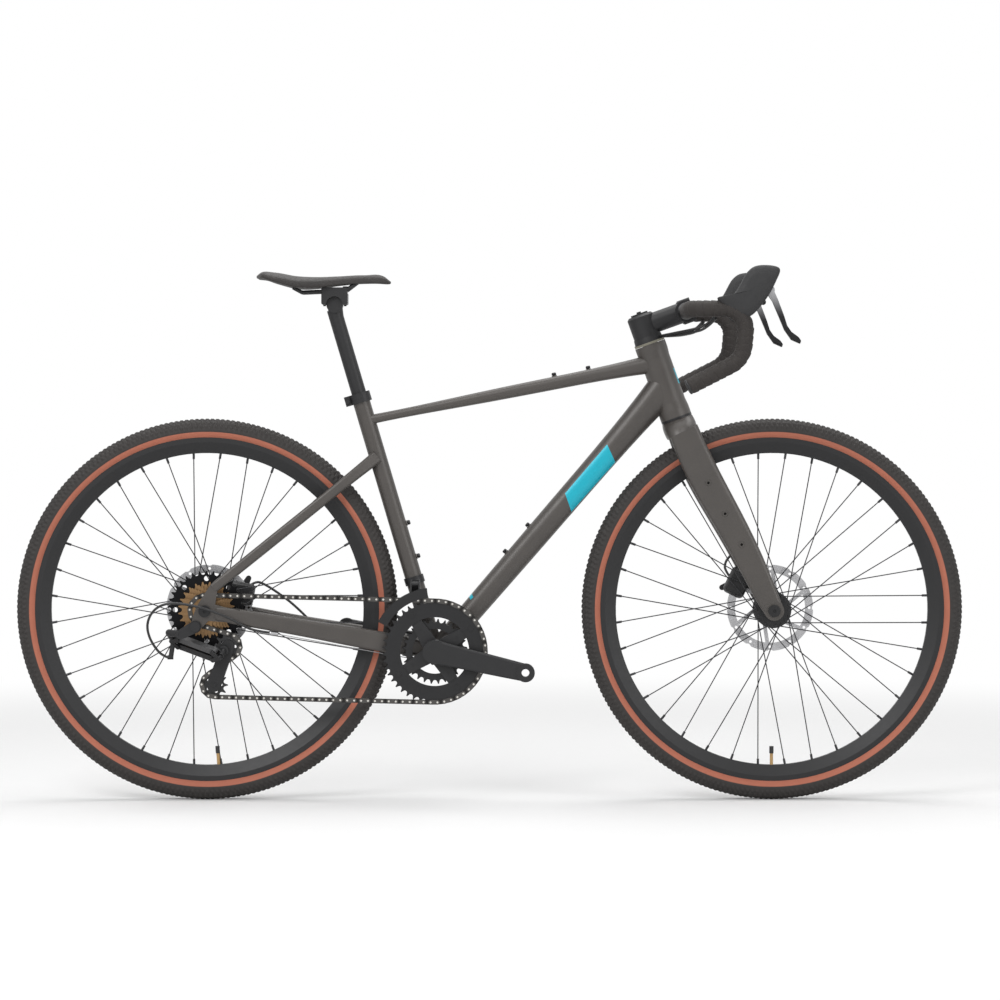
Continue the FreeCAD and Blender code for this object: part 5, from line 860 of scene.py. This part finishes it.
@dataclass
class Saddle:
    """Saddle cover, in millimetres: crowned top, shallow channel, rounded skirt and hollow underside."""

    tail: float = -143.0
    length: float = 246.0
    level: float = 15.0
    shares: tuple[float, ...] = (0.0, 0.04, 0.14, 0.3, 0.45, 0.6, 0.8, 0.95, 1.0)
    halves: tuple[float, ...] = (40.0, 60.0, 71.0, 66.0, 46.0, 31.0, 23.0, 19.0, 12.0)
    tops: tuple[float, ...] = (40.0, 44.5, 44.0, 37.5, 36.0, 37.5, 40.0, 37.0, 29.0)
    thicks: tuple[float, ...] = (12.0, 16.0, 24.0, 28.0, 26.0, 22.0, 20.0, 17.0, 9.0)
    end_round: float = 13.0
    end_angle: float = 0.02
    end_half_share: float = 0.35
    end_thick_share: float = 0.3
    end_drop_share: float = 0.4
    edge_share: float = 0.55
    hollow_share: float = 0.52
    side_power: float = 0.72
    top_power: float = 0.8
    skirt_power: float = 0.5
    channel: float = 2.4
    channel_half: float = 8.0
    channel_start_shares: Point2 = (0.16, 0.34)
    channel_end_shares: Point2 = (0.74, 0.92)
    steps: int = 140
    around: int = 80
    fill: float = 0.8

    def points(self) -> np.ndarray:
        """Sections along the saddle.

        Width, top and thickness follow smooth curves through the tables, drawn in near both ends as a
        quarter circle. Round a section, the width goes with a softened cosine; above the widest line the
        height goes with a softened sine, below it the skirt drops and the middle is drawn up.

        Returns:
            Rows of points.
        """
        share = (1 - np.cos(np.linspace(self.end_angle, math.pi - self.end_angle, self.steps))) / 2
        end = np.minimum(share, 1 - share) * self.length
        drawn = np.sqrt(1 - (1 - np.clip(end / self.end_round, 0, 1)) ** 2)[:, None]
        half = smooth_curve(self.shares, self.halves, share)[:, None]
        half *= self.end_half_share + (1 - self.end_half_share) * drawn
        thick = smooth_curve(self.shares, self.thicks, share)[:, None]
        thick *= self.end_thick_share + (1 - self.end_thick_share) * drawn
        top = smooth_curve(self.shares, self.tops, share)[:, None]
        top -= (1 - drawn) * thick * self.end_drop_share
        angle = full_turn(self.around)[None, :]
        wide, tall = np.cos(angle), np.sin(angle)
        y = half * np.sign(wide) * np.abs(wide) ** self.side_power
        edge = top - thick * self.edge_share
        hollow = top - thick + thick * self.hollow_share * (1 - (y / half) ** 2)
        upper = edge + (top - edge) * np.abs(tall) ** self.top_power
        lower = edge + (hollow - edge) * np.abs(tall) ** self.skirt_power
        middle = eased(share, *self.channel_start_shares) * (1 - eased(share, *self.channel_end_shares))
        dip = self.channel * middle[:, None] * np.exp(-((y / self.channel_half) ** 2))
        z = np.where(tall >= 0, upper - dip, lower)
        x = np.broadcast_to(self.tail + share[:, None] * self.length, y.shape)
        return np.stack((x, y, z + self.level), axis=-1) * MM + np.asarray(CLAMP_POINT)

    def build(self, finish: Finish) -> None:
        cover = Sheet("saddle_cover", self.points()).build(finish, "saddle", "saddle")


@dataclass
class Grips:
    """Wound bar tape, bar plug, lever hood and shifter stud of one side of the bar, in millimetres."""

    side: Side
    corners: tuple[Point3, ...] = (
        (0.0, 72.0, 0.0), (0.0, 203.0, 0.0), (100.0, 207.0, 0.0), (92.0, 209.0, -90.0),
        (-4.0, 212.0, -139.0),
    )
    bends: tuple[float, ...] = (40.0, 38.0, 46.0)
    step: float = 0.9
    around: int = 40
    band: float = 12.0
    band_radius: float = 14.6
    tape_radius: float = 14.1
    lap: float = 1.15
    lap_pitch: float = 13.5
    lap_power: float = 1.7
    lap_edge_share: float = 0.06
    band_edge: float = 1.5
    tail: float = 4.0
    tail_share: float = 0.04
    hole_pitch: float = 3.0
    holes_per_radian: float = 5.0
    lean: Point3 = (0.3, 0.75, 0.59)
    plug_length: float = 5.0
    plug_radius: float = 14.2
    plug_shares: tuple[Point2, ...] = (
        (-1.2, 0.8), (0.0, 0.96), (0.24, 1.0), (0.56, 1.0), (0.8, 0.92), (0.94, 0.72), (1.0, 0.3),
    )
    hood_y: float = 207.0
    hood_half: float = 16.5
    hood_steps: int = 96
    hood_layers: int = 25
    hood_power: float = 4.5
    hood_points: tuple[Point2, ...] = (
        (46.0, 17.6), (76.0, 27.5), (100.0, 66.0), (122.0, 77.5), (156.0, 72.5),
        (150.0, 48.0), (132.0, 16.0), (107.0, -12.0), (84.0, -14.0),
    )
    hood_middle: Point2 = (112.0, 34.0)
    hood_round: float = 0.34
    slot_half: float = 7.1
    slot_wall_share: float = 0.002
    slot_x: float = 126.0
    slot_top: float = 47.0
    stud: Point2 = (118.0, 38.0)
    stud_radius: float = 2.5
    stud_reach: float = 4.4
    stud_sunk: float = 4.0
    stud_edge: float = 0.5
    stud_shares: Point3 = (1.0, 1.0, 0.8)
    stud_sides: int = 24

    def label(self, what: str) -> str:
        """Name of a piece on this side."""
        return f"{what}_{self.side.name.lower()}"

    def placed(self, points: np.ndarray) -> np.ndarray:
        """Points given for the left side, from the bar's middle, put on this side in metres."""
        return points * np.array((1, self.side.value, 1)) * MM + np.asarray(BAR_CENTRE)

    def build_tape(self, finish: Finish) -> None:
        """Wind the tape.

        The radius follows the winding: the place along the bar in turns plus the angle in turns, and at
        each whole turn the lap's edge drops from the full thickness to the layer below. A plain band
        holds the inner end, and the outer end is drawn in at the plug.

        Args:
            finish: the tape's finish.
        """
        path = rounded_path(self.corners, self.bends, self.step)
        far = np.arange(len(path)) * self.step
        angle = full_turn(self.around)
        turn = (far[:, None] / self.lap_pitch + angle[None, :] / (2 * math.pi)) % 1.0
        lap = self.lap * (1 - turn**self.lap_power) * eased(turn, 0.0, self.lap_edge_share)
        wound = self.tape_radius + lap
        band = eased(far, self.band, self.band + self.band_edge)[:, None]
        radius = self.band_radius + (wound - self.band_radius) * band
        radius *= 1 - self.tail_share * eased(far, far[-1] - self.tail, far[-1])[:, None]
        holes = np.broadcast_arrays(far[:, None] / self.hole_pitch, angle[None, :] * self.holes_per_radian)
        chart = np.stack(holes, axis=-1)
        points = self.placed(carried(path, radius, angle, self.lean))
        sheet = Sheet(self.label("tape"), points, chart=chart)
        sheet.build(finish, "steering", "bar_tape")

    def build_plug(self, finish: Finish) -> None:
        """Plug at the bar's end: rings that draw in to a flat dome.

        Args:
            finish: the piece's finish.
        """
        start, end = np.asarray(self.corners[-2]), np.asarray(self.corners[-1])
        along = (end - start) / np.linalg.norm(end - start)
        place, radius = (np.asarray(self.plug_shares) * (self.plug_length, self.plug_radius)).T
        angle = full_turn(self.around)
        rings = np.broadcast_to(radius[:, None], (len(place), self.around))
        points = carried(end + place[:, None] * along, rings, angle, self.lean)
        Sheet(self.label("bar_plug"), self.placed(points)).build(finish, "steering", "bar_tape")

    def hood_outline(self) -> np.ndarray:
        """Closed smooth curve through the hood's corners, in even steps of the corners' count.

        Returns:
            Points in X and Z, from the bar's middle.
        """
        loop = np.asarray(self.hood_points + self.hood_points[:3], float)
        place = np.arange(len(loop), dtype=float)
        where = np.linspace(1, len(self.hood_points) + 1, self.hood_steps, endpoint=False)
        return np.stack([smooth_curve(place, loop[:, axis], where) for axis in range(2)], axis=-1)

    def build_hood(self, finish: Finish) -> None:
        """Layers of the outline across the hood, drawn in towards both faces as a rounded square is.

        Between the slot's two walls the front of the outline is held back, which leaves the lever's slot.

        Args:
            finish: the hood's finish.
        """
        outline = self.hood_outline()
        part = np.sin(np.linspace(-math.pi / 2, math.pi / 2, self.hood_layers))
        wall, thin = self.slot_half / self.hood_half, self.slot_wall_share
        share = np.sort(np.concatenate((part, (-wall, -wall + thin, wall - thin, wall))))
        drawn = 1 - self.hood_round * np.abs(share) ** self.hood_power
        middle = np.asarray(self.hood_middle)
        layer = middle + (outline[None] - middle) * drawn[:, None, None]
        inside = (np.abs(share) < wall - thin / 2)[:, None] & (layer[:, :, 1] < self.slot_top)
        layer[:, :, 0] = np.where(inside, np.minimum(layer[:, :, 0], self.slot_x), layer[:, :, 0])
        y = np.broadcast_to(self.hood_y + share[:, None] * self.hood_half, layer.shape[:2])
        points = np.stack((layer[:, :, 0], y, layer[:, :, 1]), axis=-1)
        Sheet(self.label("hood"), self.placed(points)).build(finish, "steering", "lever_hoods")

    def build_stud(self, finish: Finish) -> None:
        """Hinge stud of the thumb shifter, out of the hood's inner face.

        Args:
            finish: the piece's finish.
        """
        inner = self.hood_y - self.hood_half
        tip = inner - self.stud_reach
        x, z = self.stud
        path = np.array(((x, inner + self.stud_sunk, z), (x, tip + self.stud_edge, z), (x, tip, z)))
        angle = full_turn(self.stud_sides)
        radius = np.asarray(self.stud_shares)[:, None] * np.full(self.stud_sides, self.stud_radius)
        points = self.placed(carried(path, radius, angle, (0, 0, 1)))
        Sheet(self.label("shifter_stud"), points).build(finish, "steering", "lever_hoods")


@dataclass
class Cables:
    """Free cable housings as cords, and the fixed stop, wire and guide under the frame, in millimetres."""

    radius: float = 2.3
    curve_steps: int = 8
    bevel_steps: int = 5
    bar_route: tuple[Point3, ...] = (
        (405.0, 200.0, 888.0), (391.0, 152.0, 870.0), (368.0, 98.0, 864.0), (345.0, 45.0, 860.0),
        (310.0, 11.0, 853.0),
    )
    twin_drop: float = 5.5
    twin_shift: float = 7.0
    front_hose: tuple[Point3, ...] = (
        (455.0, 52.0, 455.0), (446.0, 51.0, 447.0), (437.0, 49.0, 435.0), (436.0, 46.0, 420.0),
        (449.0, 42.0, 404.0),
    )
    loop_route: tuple[Point3, ...] = (
        (117.0, -58.5, -40.0), (90.0, -67.0, -36.0), (70.0, -78.0, -26.0), (51.0, -84.0, -14.0),
        (15.0, -90.0, 1.5), (-14.0, -92.0, 10.0), (-43.0, -92.0, 15.5), (-66.0, -90.0, 15.5),
        (-86.0, -85.0, 8.0), (-100.0, -77.0, -8.0), (-106.0, -68.0, -28.0), (-102.0, -58.0, -50.0),
        (-91.0, -50.0, -70.0), (-80.0, -46.0, -82.0), (-70.0, -45.31, -86.0),
    )
    rear_hose: tuple[Point3, ...] = (
        (66.0, 55.0, 34.0), (84.0, 58.0, 50.0), (104.0, 58.0, 42.0),
        (130.0, 55.0, 25.0), (158.0, 53.0, 4.0), (180.0, 52.0, -18.0),
    )
    stop_end: Point3 = (133.0, -57.0, -42.5)
    stop_radius: float = 3.6
    wire_radius: float = 0.8
    guide: Point3 = (-4.0, -12.0, -23.0)
    guide_half: float = 9.0
    guide_radius: float = 4.0
    step: float = 4.0
    sides: int = 20
    lean: Point3 = (0.1, 0.2, 1.0)

    def run(self, name: str, route: np.ndarray, finish: Finish, body: str, node: str) -> None:
        """Lay one housing along its route.

        Args:
            name: the piece's name.
            route: control points in metres.
            finish: its finish.
            body: the body that it rides.
            node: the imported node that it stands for.
        """
        curve = bpy.data.curves.new(name, "CURVE")
        curve.dimensions = "3D"
        curve.resolution_u = self.curve_steps
        spline = curve.splines.new("NURBS")
        spline.points.add(len(route) - 1)
        spline.points.foreach_set("co", np.column_stack((route, np.ones(len(route)))).ravel())
        spline.order_u = 3
        spline.use_endpoint_u = True
        line = bpy.data.objects.new(name, curve)
        bpy.context.scene.collection.objects.link(line)
        plain = bpy.data.meshes.new_from_object(line)
        spots = np.empty(len(plain.vertices) * 3)
        plain.vertices.foreach_get("co", spots)
        bpy.data.meshes.remove(plain)
        curve.bevel_depth = self.radius * MM
        curve.bevel_resolution = self.bevel_steps
        curve.use_fill_caps = True
        curve.materials.append(finish.material())
        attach(line, body)
        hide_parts(node)

    def build_bar(self, finish: Finish) -> None:
        """Two housings a side from the bar into the headset cover, and the front brake's."""
        for side in Side:
            route = np.asarray(self.bar_route) * (1, side.value, 1)
            twin = route - (0, side.value * self.twin_shift, self.twin_drop)
            twin[-1] = route[-1] - (0, side.value * self.twin_shift, 0)
            for label, points in (("upper", route), ("lower", twin)):
                name = f"bar_cable_{side.name.lower()}_{label}"
                self.run(name, points * MM, finish, "steering", "control_cables")
        self.run(
            "front_brake_cable", np.asarray(self.front_hose) * MM, finish, "steering", "control_cables",
        )

    def build_frame(self, finish: Finish, steel: Finish) -> None:
        """Derailleur loop, rear brake housing, cable stop, bare wire and guide.

        Args:
            finish: finish of the housings and the guide.
            steel: finish of the stop and the wire.
        """
        axle = np.asarray(REAR_AXLE)
        self.run(
            "gear_cable_loop", np.asarray(self.loop_route) * MM + axle, finish, "frame", "frame_cables",
        )
        self.run(
            "rear_brake_cable", np.asarray(self.rear_hose) * MM + axle, finish, "frame", "frame_cables",
        )
        start = np.asarray(self.loop_route[0]) * MM + axle
        stop = np.asarray(self.stop_end) * MM + axle
        guide = np.asarray(self.guide) * MM + np.asarray(CRANK_AXLE)
        across = np.array((0.0, self.guide_half * MM, 0.0))
        for name, ends, radius, look in (
            ("cable_stop", (start, stop), self.stop_radius, steel),
            ("bare_wire", (start, guide), self.wire_radius, steel),
            ("cable_guide", (guide - across, guide + across), self.guide_radius, finish),
        ):
            path = even_path(np.asarray(ends), self.step * MM)
            rings = np.broadcast_to(radius * MM, (len(path), self.sides))
            points = carried(path, rings, full_turn(self.sides), self.lean)
            Sheet(name, points).build(look, "frame", "frame_cables")


@dataclass(frozen=True)
class Bolts:
    """Domed bolts in the bosses of the frame, two on a tube, standing out along the boss, in metres."""

    seats: tuple[tuple[str, Point3, Point3], ...] = (
        ("down_tube_bolt_1", (0.03099, 0.0, 0.4552), (-0.758, 0.0, 0.65226)),
        ("down_tube_bolt_2", (0.07273, 0.0, 0.50371), (-0.758, 0.0, 0.65226)),
        ("seat_tube_bolt_1", (-0.13511, 0.0, 0.44831), (0.95882, 0.0, 0.28402)),
        ("seat_tube_bolt_2", (-0.15329, 0.0, 0.50967), (0.95882, 0.0, 0.28402)),
        ("top_tube_bolt_1", (0.11901, 0.0, 0.77942), (-0.19436, 0.0, 0.98093)),
        ("top_tube_bolt_2", (0.18179, 0.0, 0.79186), (-0.19436, 0.0, 0.98093)),
    )
    along: tuple[float, ...] = (-0.004, 0.0014, 0.0018, 0.0022, 0.0052, 0.0066, 0.0072, 0.0072, 0.0046)
    radii: tuple[float, ...] = (0.0023, 0.0023, 0.0023, 0.0043, 0.0043, 0.0037, 0.0029, 0.0017, 0.0015)
    sides: int = 24

    def build(self, finish: Finish) -> None:
        """Spin the same profile about each boss.

        Args:
            finish: finish of the bolts.
        """
        angle = full_turn(self.sides)
        rings = np.broadcast_to(np.asarray(self.radii)[:, None], (len(self.radii), self.sides))
        for name, seat, out in self.seats:
            line = np.asarray(seat) + np.outer(self.along, out)
            side = np.array((0.0, 1.0, 0.0))
            up = np.cross(out, side)
            around = np.cos(angle)[:, None] * side + np.sin(angle)[:, None] * up
            Sheet(name, line[:, None, :] + rings[..., None] * around[None]).build(finish, "frame")


@dataclass
class Wardrobe:
    """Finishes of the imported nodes, by material slot, with a few nodes' own."""

    paint: Paint = Paint(
        "frame_paint", (0.072, 0.064, 0.058), (0.05, 0.045, 0.041), rough=(0.36, 0.48), metal=0.15,
        coat=0.12, mottle=25.0, depth=0.00001,
        blocks=(
            Block(((0.1503, 0.5308), (0.2311, 0.6216), (0.2155, 0.6546), (0.1384, 0.5647))),
            Block(((-0.041, 0.379), (-0.035, 0.369), (-0.03, 0.374), (-0.036, 0.385))),
            Block(((0.347, 0.767), (0.36, 0.767), (0.352, 0.795), (0.337, 0.795))),
        ),
    )
    alloy: Finish = Finish(
        "black_alloy", (0.011, 0.011, 0.012), (0.007, 0.007, 0.008), rough=(0.4, 0.54), metal=0.15,
    )
    steel: Finish = Finish(
        "black_steel", (0.014, 0.014, 0.015), (0.009, 0.009, 0.01), rough=(0.36, 0.5), metal=0.3,
    )
    bright: Finish = Finish(
        "bright_steel", (0.52, 0.52, 0.53), (0.4, 0.4, 0.41), rough=(0.24, 0.36), metal=1.0,
    )
    spoke: Finish = Finish(
        "spoke_steel", (0.055, 0.055, 0.058), (0.035, 0.035, 0.037), rough=(0.3, 0.4), metal=0.9,
    )
    chain: ChainSteel = ChainSteel(
        "chain_steel", (0.1, 0.096, 0.09), (0.055, 0.052, 0.05), rough=(0.28, 0.45), metal=0.7
    )
    grey: Finish = Finish(
        "grey_alloy", (0.1, 0.1, 0.102), (0.075, 0.075, 0.077), rough=(0.32, 0.44), metal=0.5,
    )
    hood: Finish = Finish(
        "hood_rubber", (0.021, 0.021, 0.022), (0.015, 0.015, 0.016), rough=(0.6, 0.75), grain=2200.0,
    )
    plastic: Finish = Finish(
        "black_plastic", (0.013, 0.013, 0.014), (0.009, 0.009, 0.01), rough=(0.45, 0.6),
    )
    sleeve: Finish = Finish(
        "cable_housing", (0.017, 0.017, 0.018), (0.011, 0.011, 0.012), rough=(0.35, 0.5),
    )
    tape: CorkTape = CorkTape(
        "bar_tape", (0.026, 0.021, 0.018), (0.016, 0.013, 0.012), rough=(0.65, 0.8), depth=0.0002,
    )
    leather: Leather = Leather(
        "saddle_cover", (0.024, 0.02, 0.018), (0.015, 0.013, 0.012), rough=(0.45, 0.6), depth=0.0001,
    )
    # lever blades: dark alloy with a painted highlight towards the root
    lever: Lever = Lever(
        "lever_alloy", (0.024, 0.024, 0.025), (0.016, 0.016, 0.017), rough=(0.3, 0.42), metal=0.7,
    )
    headset: Banded = Banded(
        "headset_black", (0.011, 0.011, 0.012), (0.007, 0.007, 0.008), rough=(0.4, 0.54), metal=0.1,
    )
    cogs: Cogs = Cogs(
        "cog_bronze", (0.33, 0.21, 0.11), (0.2, 0.12, 0.06), rough=(0.3, 0.45), metal=1.0, centre=REAR_AXLE,
    )

    def wheel(self, name: str, axle: Point3) -> dict[str, Finish]:
        """Finishes of one wheel's own nodes, whose rings lie about its axle.

        Args:
            name: front or rear.
            axle: middle of the wheel.

        Returns:
            The finish of each node.
        """
        rotor = Turned(
            f"{name}_rotor_steel", (0.55, 0.55, 0.56), (0.38, 0.38, 0.39), (0.22, 0.36), 1.0, centre=axle,
        )
        tube = ValveTube(
            f"{name}_tube_rubber", (0.016, 0.016, 0.017), (0.01, 0.01, 0.011), (0.4, 0.5), centre=axle,
            depth=0.0002,
        )
        rim = Turned(
            f"{name}_rim_black", (0.011, 0.011, 0.012), (0.007, 0.007, 0.008), (0.4, 0.52), 0.15,
            centre=axle,
        )
        return {f"{name}_rotor": rotor, f"{name}_inner_tube": tube, f"{name}_rim": rim}

    def tyre(self, name: str, axle: Point3) -> TyreRubber:
        """Rubber of one wheel's tyre."""
        return TyreRubber(
            f"{name}_tyre_rubber", (0.026, 0.022, 0.02), (0.017, 0.015, 0.014), rough=(0.6, 0.78),
            centre=axle, depth=0.0001
        )

    def slots(self) -> dict[str, Finish]:
        """Finish of each material slot of the record."""
        return {
            "frame_paint": self.paint, "black_alloy": self.alloy, "black_steel": self.steel,
            "bright_steel": self.bright, "spoke_steel": self.spoke, "chain_steel": self.chain,
            "hood_rubber": self.hood, "black_plastic": self.plastic, "cable_housing": self.sleeve,
            "bar_tape": self.tape, "saddle_cover": self.leather, "lever_alloy": self.lever,
            "cog_bronze": self.cogs, "rotor_steel": self.bright, "tube_rubber": self.plastic,
            "tyre_rubber": self.plastic,
        }

    def dress(self, frame: dict[str, Any]) -> None:
        """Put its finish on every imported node.

        Args:
            frame: what the loader gave: nodes and record.
        """
        own: dict[str, Finish] = {
            "headset_cover": self.headset, "frame_bearings": self.steel, "derailleur_outer_link": self.grey,
        }
        for name, axle in (("front", FRONT_AXLE), ("rear", REAR_AXLE)):
            own.update(self.wheel(name, axle))
        slots = self.slots()
        for piece in frame["record"]["subparts"]:
            name = piece["node"]
            finish = own.get(name, slots[piece["material_slot"]])
            thing = frame["nodes"][name]
            thing.data.materials.clear()
            thing.data.materials.append(finish.material())
            log.info("node %s: %s", name, finish.name)


@dataclass
class Studio:
    """Camera, soft light, pale floor and white surroundings."""

    camera_at: Point3 = (0.0, -6.87, 0.735)
    aim: Point3 = (0.019, 0.0, 0.552)
    lens: float = 134.3
    floor_half: float = 9.0
    floor_near: float = 1.5
    floor_far: float = 3.2
    floor_tones: Point2 = (0.91, 0.93)
    floor_mottle: float = 30.0
    floor_rough: float = 0.7
    ambient: float = 0.36
    lamps: tuple[tuple[str, Point3, Point3, float, float], ...] = (
        ("key", (-2.2, -3.6, 3.4), (0.0, 0.0, 0.4), 2.6, 120.0),
        ("fill", (3.4, -3.0, 1.8), (0.1, 0.0, 0.5), 2.4, 42.0),
        ("top", (0.3, 0.6, 4.2), (0.0, 0.0, 0.4), 3.2, 95.0),
    )

    def aimed(self, thing: bpy.types.Object, start: Point3, end: Point3) -> None:
        """Put an object in the scene at a point, looking at another.

        Args:
            thing: camera or lamp.
            start: where it stands.
            end: what it looks at.
        """
        thing.location = start
        way = Vector(end) - Vector(start)
        thing.rotation_euler = way.to_track_quat("-Z", "Y").to_euler()
        bpy.context.scene.collection.objects.link(thing)

    def build_camera(self) -> None:
        """Camera at the photograph's place."""
        lens = bpy.data.cameras.new("camera")
        lens.lens = self.lens
        camera = bpy.data.objects.new("camera", lens)
        self.aimed(camera, self.camera_at, self.aim)
        bpy.context.scene.camera = camera

    def build_lamps(self) -> list[bpy.types.Object]:
        """Large square soft boxes.

        Returns:
            The lamps.
        """
        made = []
        for name, start, end, size, power in self.lamps:
            light = bpy.data.lights.new(name, "AREA")
            light.size = size
            light.energy = power
            lamp = bpy.data.objects.new(name, light)
            self.aimed(lamp, start, end)
            made.append(lamp)
        return made

    def build_world(self) -> None:
        """Even soft surroundings, plain white where the camera looks past the floor."""
        world = bpy.data.worlds.new("studio")
        graph = Graph(world)
        rays = ("Is Camera Ray", "Is Glossy Ray", "Is Transmission Ray")
        camera, glossy, through = (graph.node("ShaderNodeLightPath", output=ray) for ray in rays)
        soft = graph.node("ShaderNodeBackground", None, {"Color": WHITE, "Strength": self.ambient})
        white = graph.node("ShaderNodeBackground", None, {"Color": WHITE})
        shown = {0: camera + glossy + through, 1: soft, 2: white}
        graph.close(graph.node("ShaderNodeMixShader", None, shown))
        bpy.context.scene.world = world

    def build_floor(self) -> bpy.types.Object:
        """Pale floor that keeps the shadow near the bicycle and goes to white farther off.

        Returns:
            The floor.
        """
        half = self.floor_half
        mesh = bpy.data.meshes.new("floor")
        corners = [(-half, -half, 0), (half, -half, 0), (half, half, 0), (-half, half, 0)]
        mesh.from_pydata(corners, [], [(0, 1, 2, 3)])
        floor = bpy.data.objects.new("floor", mesh)
        bpy.context.scene.collection.objects.link(floor)
        graph = Graph(bpy.data.materials.new("floor_white"))
        far = graph.node("ShaderNodeVectorMath", {"operation": "LENGTH"}, {0: graph.place()}, "Value")
        middle = (self.floor_near + self.floor_far) / 2
        camera = graph.node("ShaderNodeLightPath", output="Is Camera Ray")
        away = far.above(middle, (self.floor_far - self.floor_near) / 2) * camera
        low, high = ((tone, tone, tone) for tone in self.floor_tones)
        grain = graph.mix(graph.noise(self.floor_mottle), low, high)
        look = {"Base Color": grain, "Roughness": self.floor_rough}
        pale = graph.node("ShaderNodeBsdfPrincipled", None, look)
        white = graph.node("ShaderNodeEmission", None, {"Color": WHITE, "Strength": 1.0})
        graph.close(graph.node("ShaderNodeMixShader", None, {0: away, 1: pale, 2: white}))
        mesh.materials.append(graph.owner)
        return floor

    def build(self) -> None:
        """Set everything up around the bicycle."""
        bpy.context.scene.view_settings.view_transform = "Standard"
        self.build_camera()
        self.build_world()
        self.build_floor()
        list(self.build_lamps())


@dataclass
class GravelBike:
    """The whole bicycle: dressed nodes and the pieces built over them."""

    frame: dict[str, Any]
    wardrobe: Wardrobe = field(default_factory=Wardrobe)
    saddle: Saddle = field(default_factory=Saddle)
    cables: Cables = field(default_factory=Cables)

    def build(self) -> None:
        """Dress the nodes, then build the soft and fine pieces."""
        looks = self.wardrobe
        looks.dress(self.frame)
        for name, axle in (("front", FRONT_AXLE), ("rear", REAR_AXLE)):
            tyre = Tyre(f"{name}_tyre_tread", f"{name}_tyre", f"{name}_wheel", axle)
            tyre.build(looks.tyre(name, axle))
        self.saddle.build(looks.leather)
        for side in Side:
            grips = Grips(side)
            grips.build_tape(looks.tape)
            grips.build_plug(looks.plastic)
            grips.build_hood(looks.hood)
            grips.build_stud(looks.steel)
        self.cables.build_bar(looks.sleeve)
        self.cables.build_frame(looks.sleeve, looks.bright)
        Bolts().build(looks.steel)


def main() -> None:
    """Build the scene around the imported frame."""
    logging.basicConfig(level=logging.INFO, format="%(message)s")
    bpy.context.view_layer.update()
    GravelBike(frame).build()
    Studio().build()


if __name__ == "__main__":
    main()
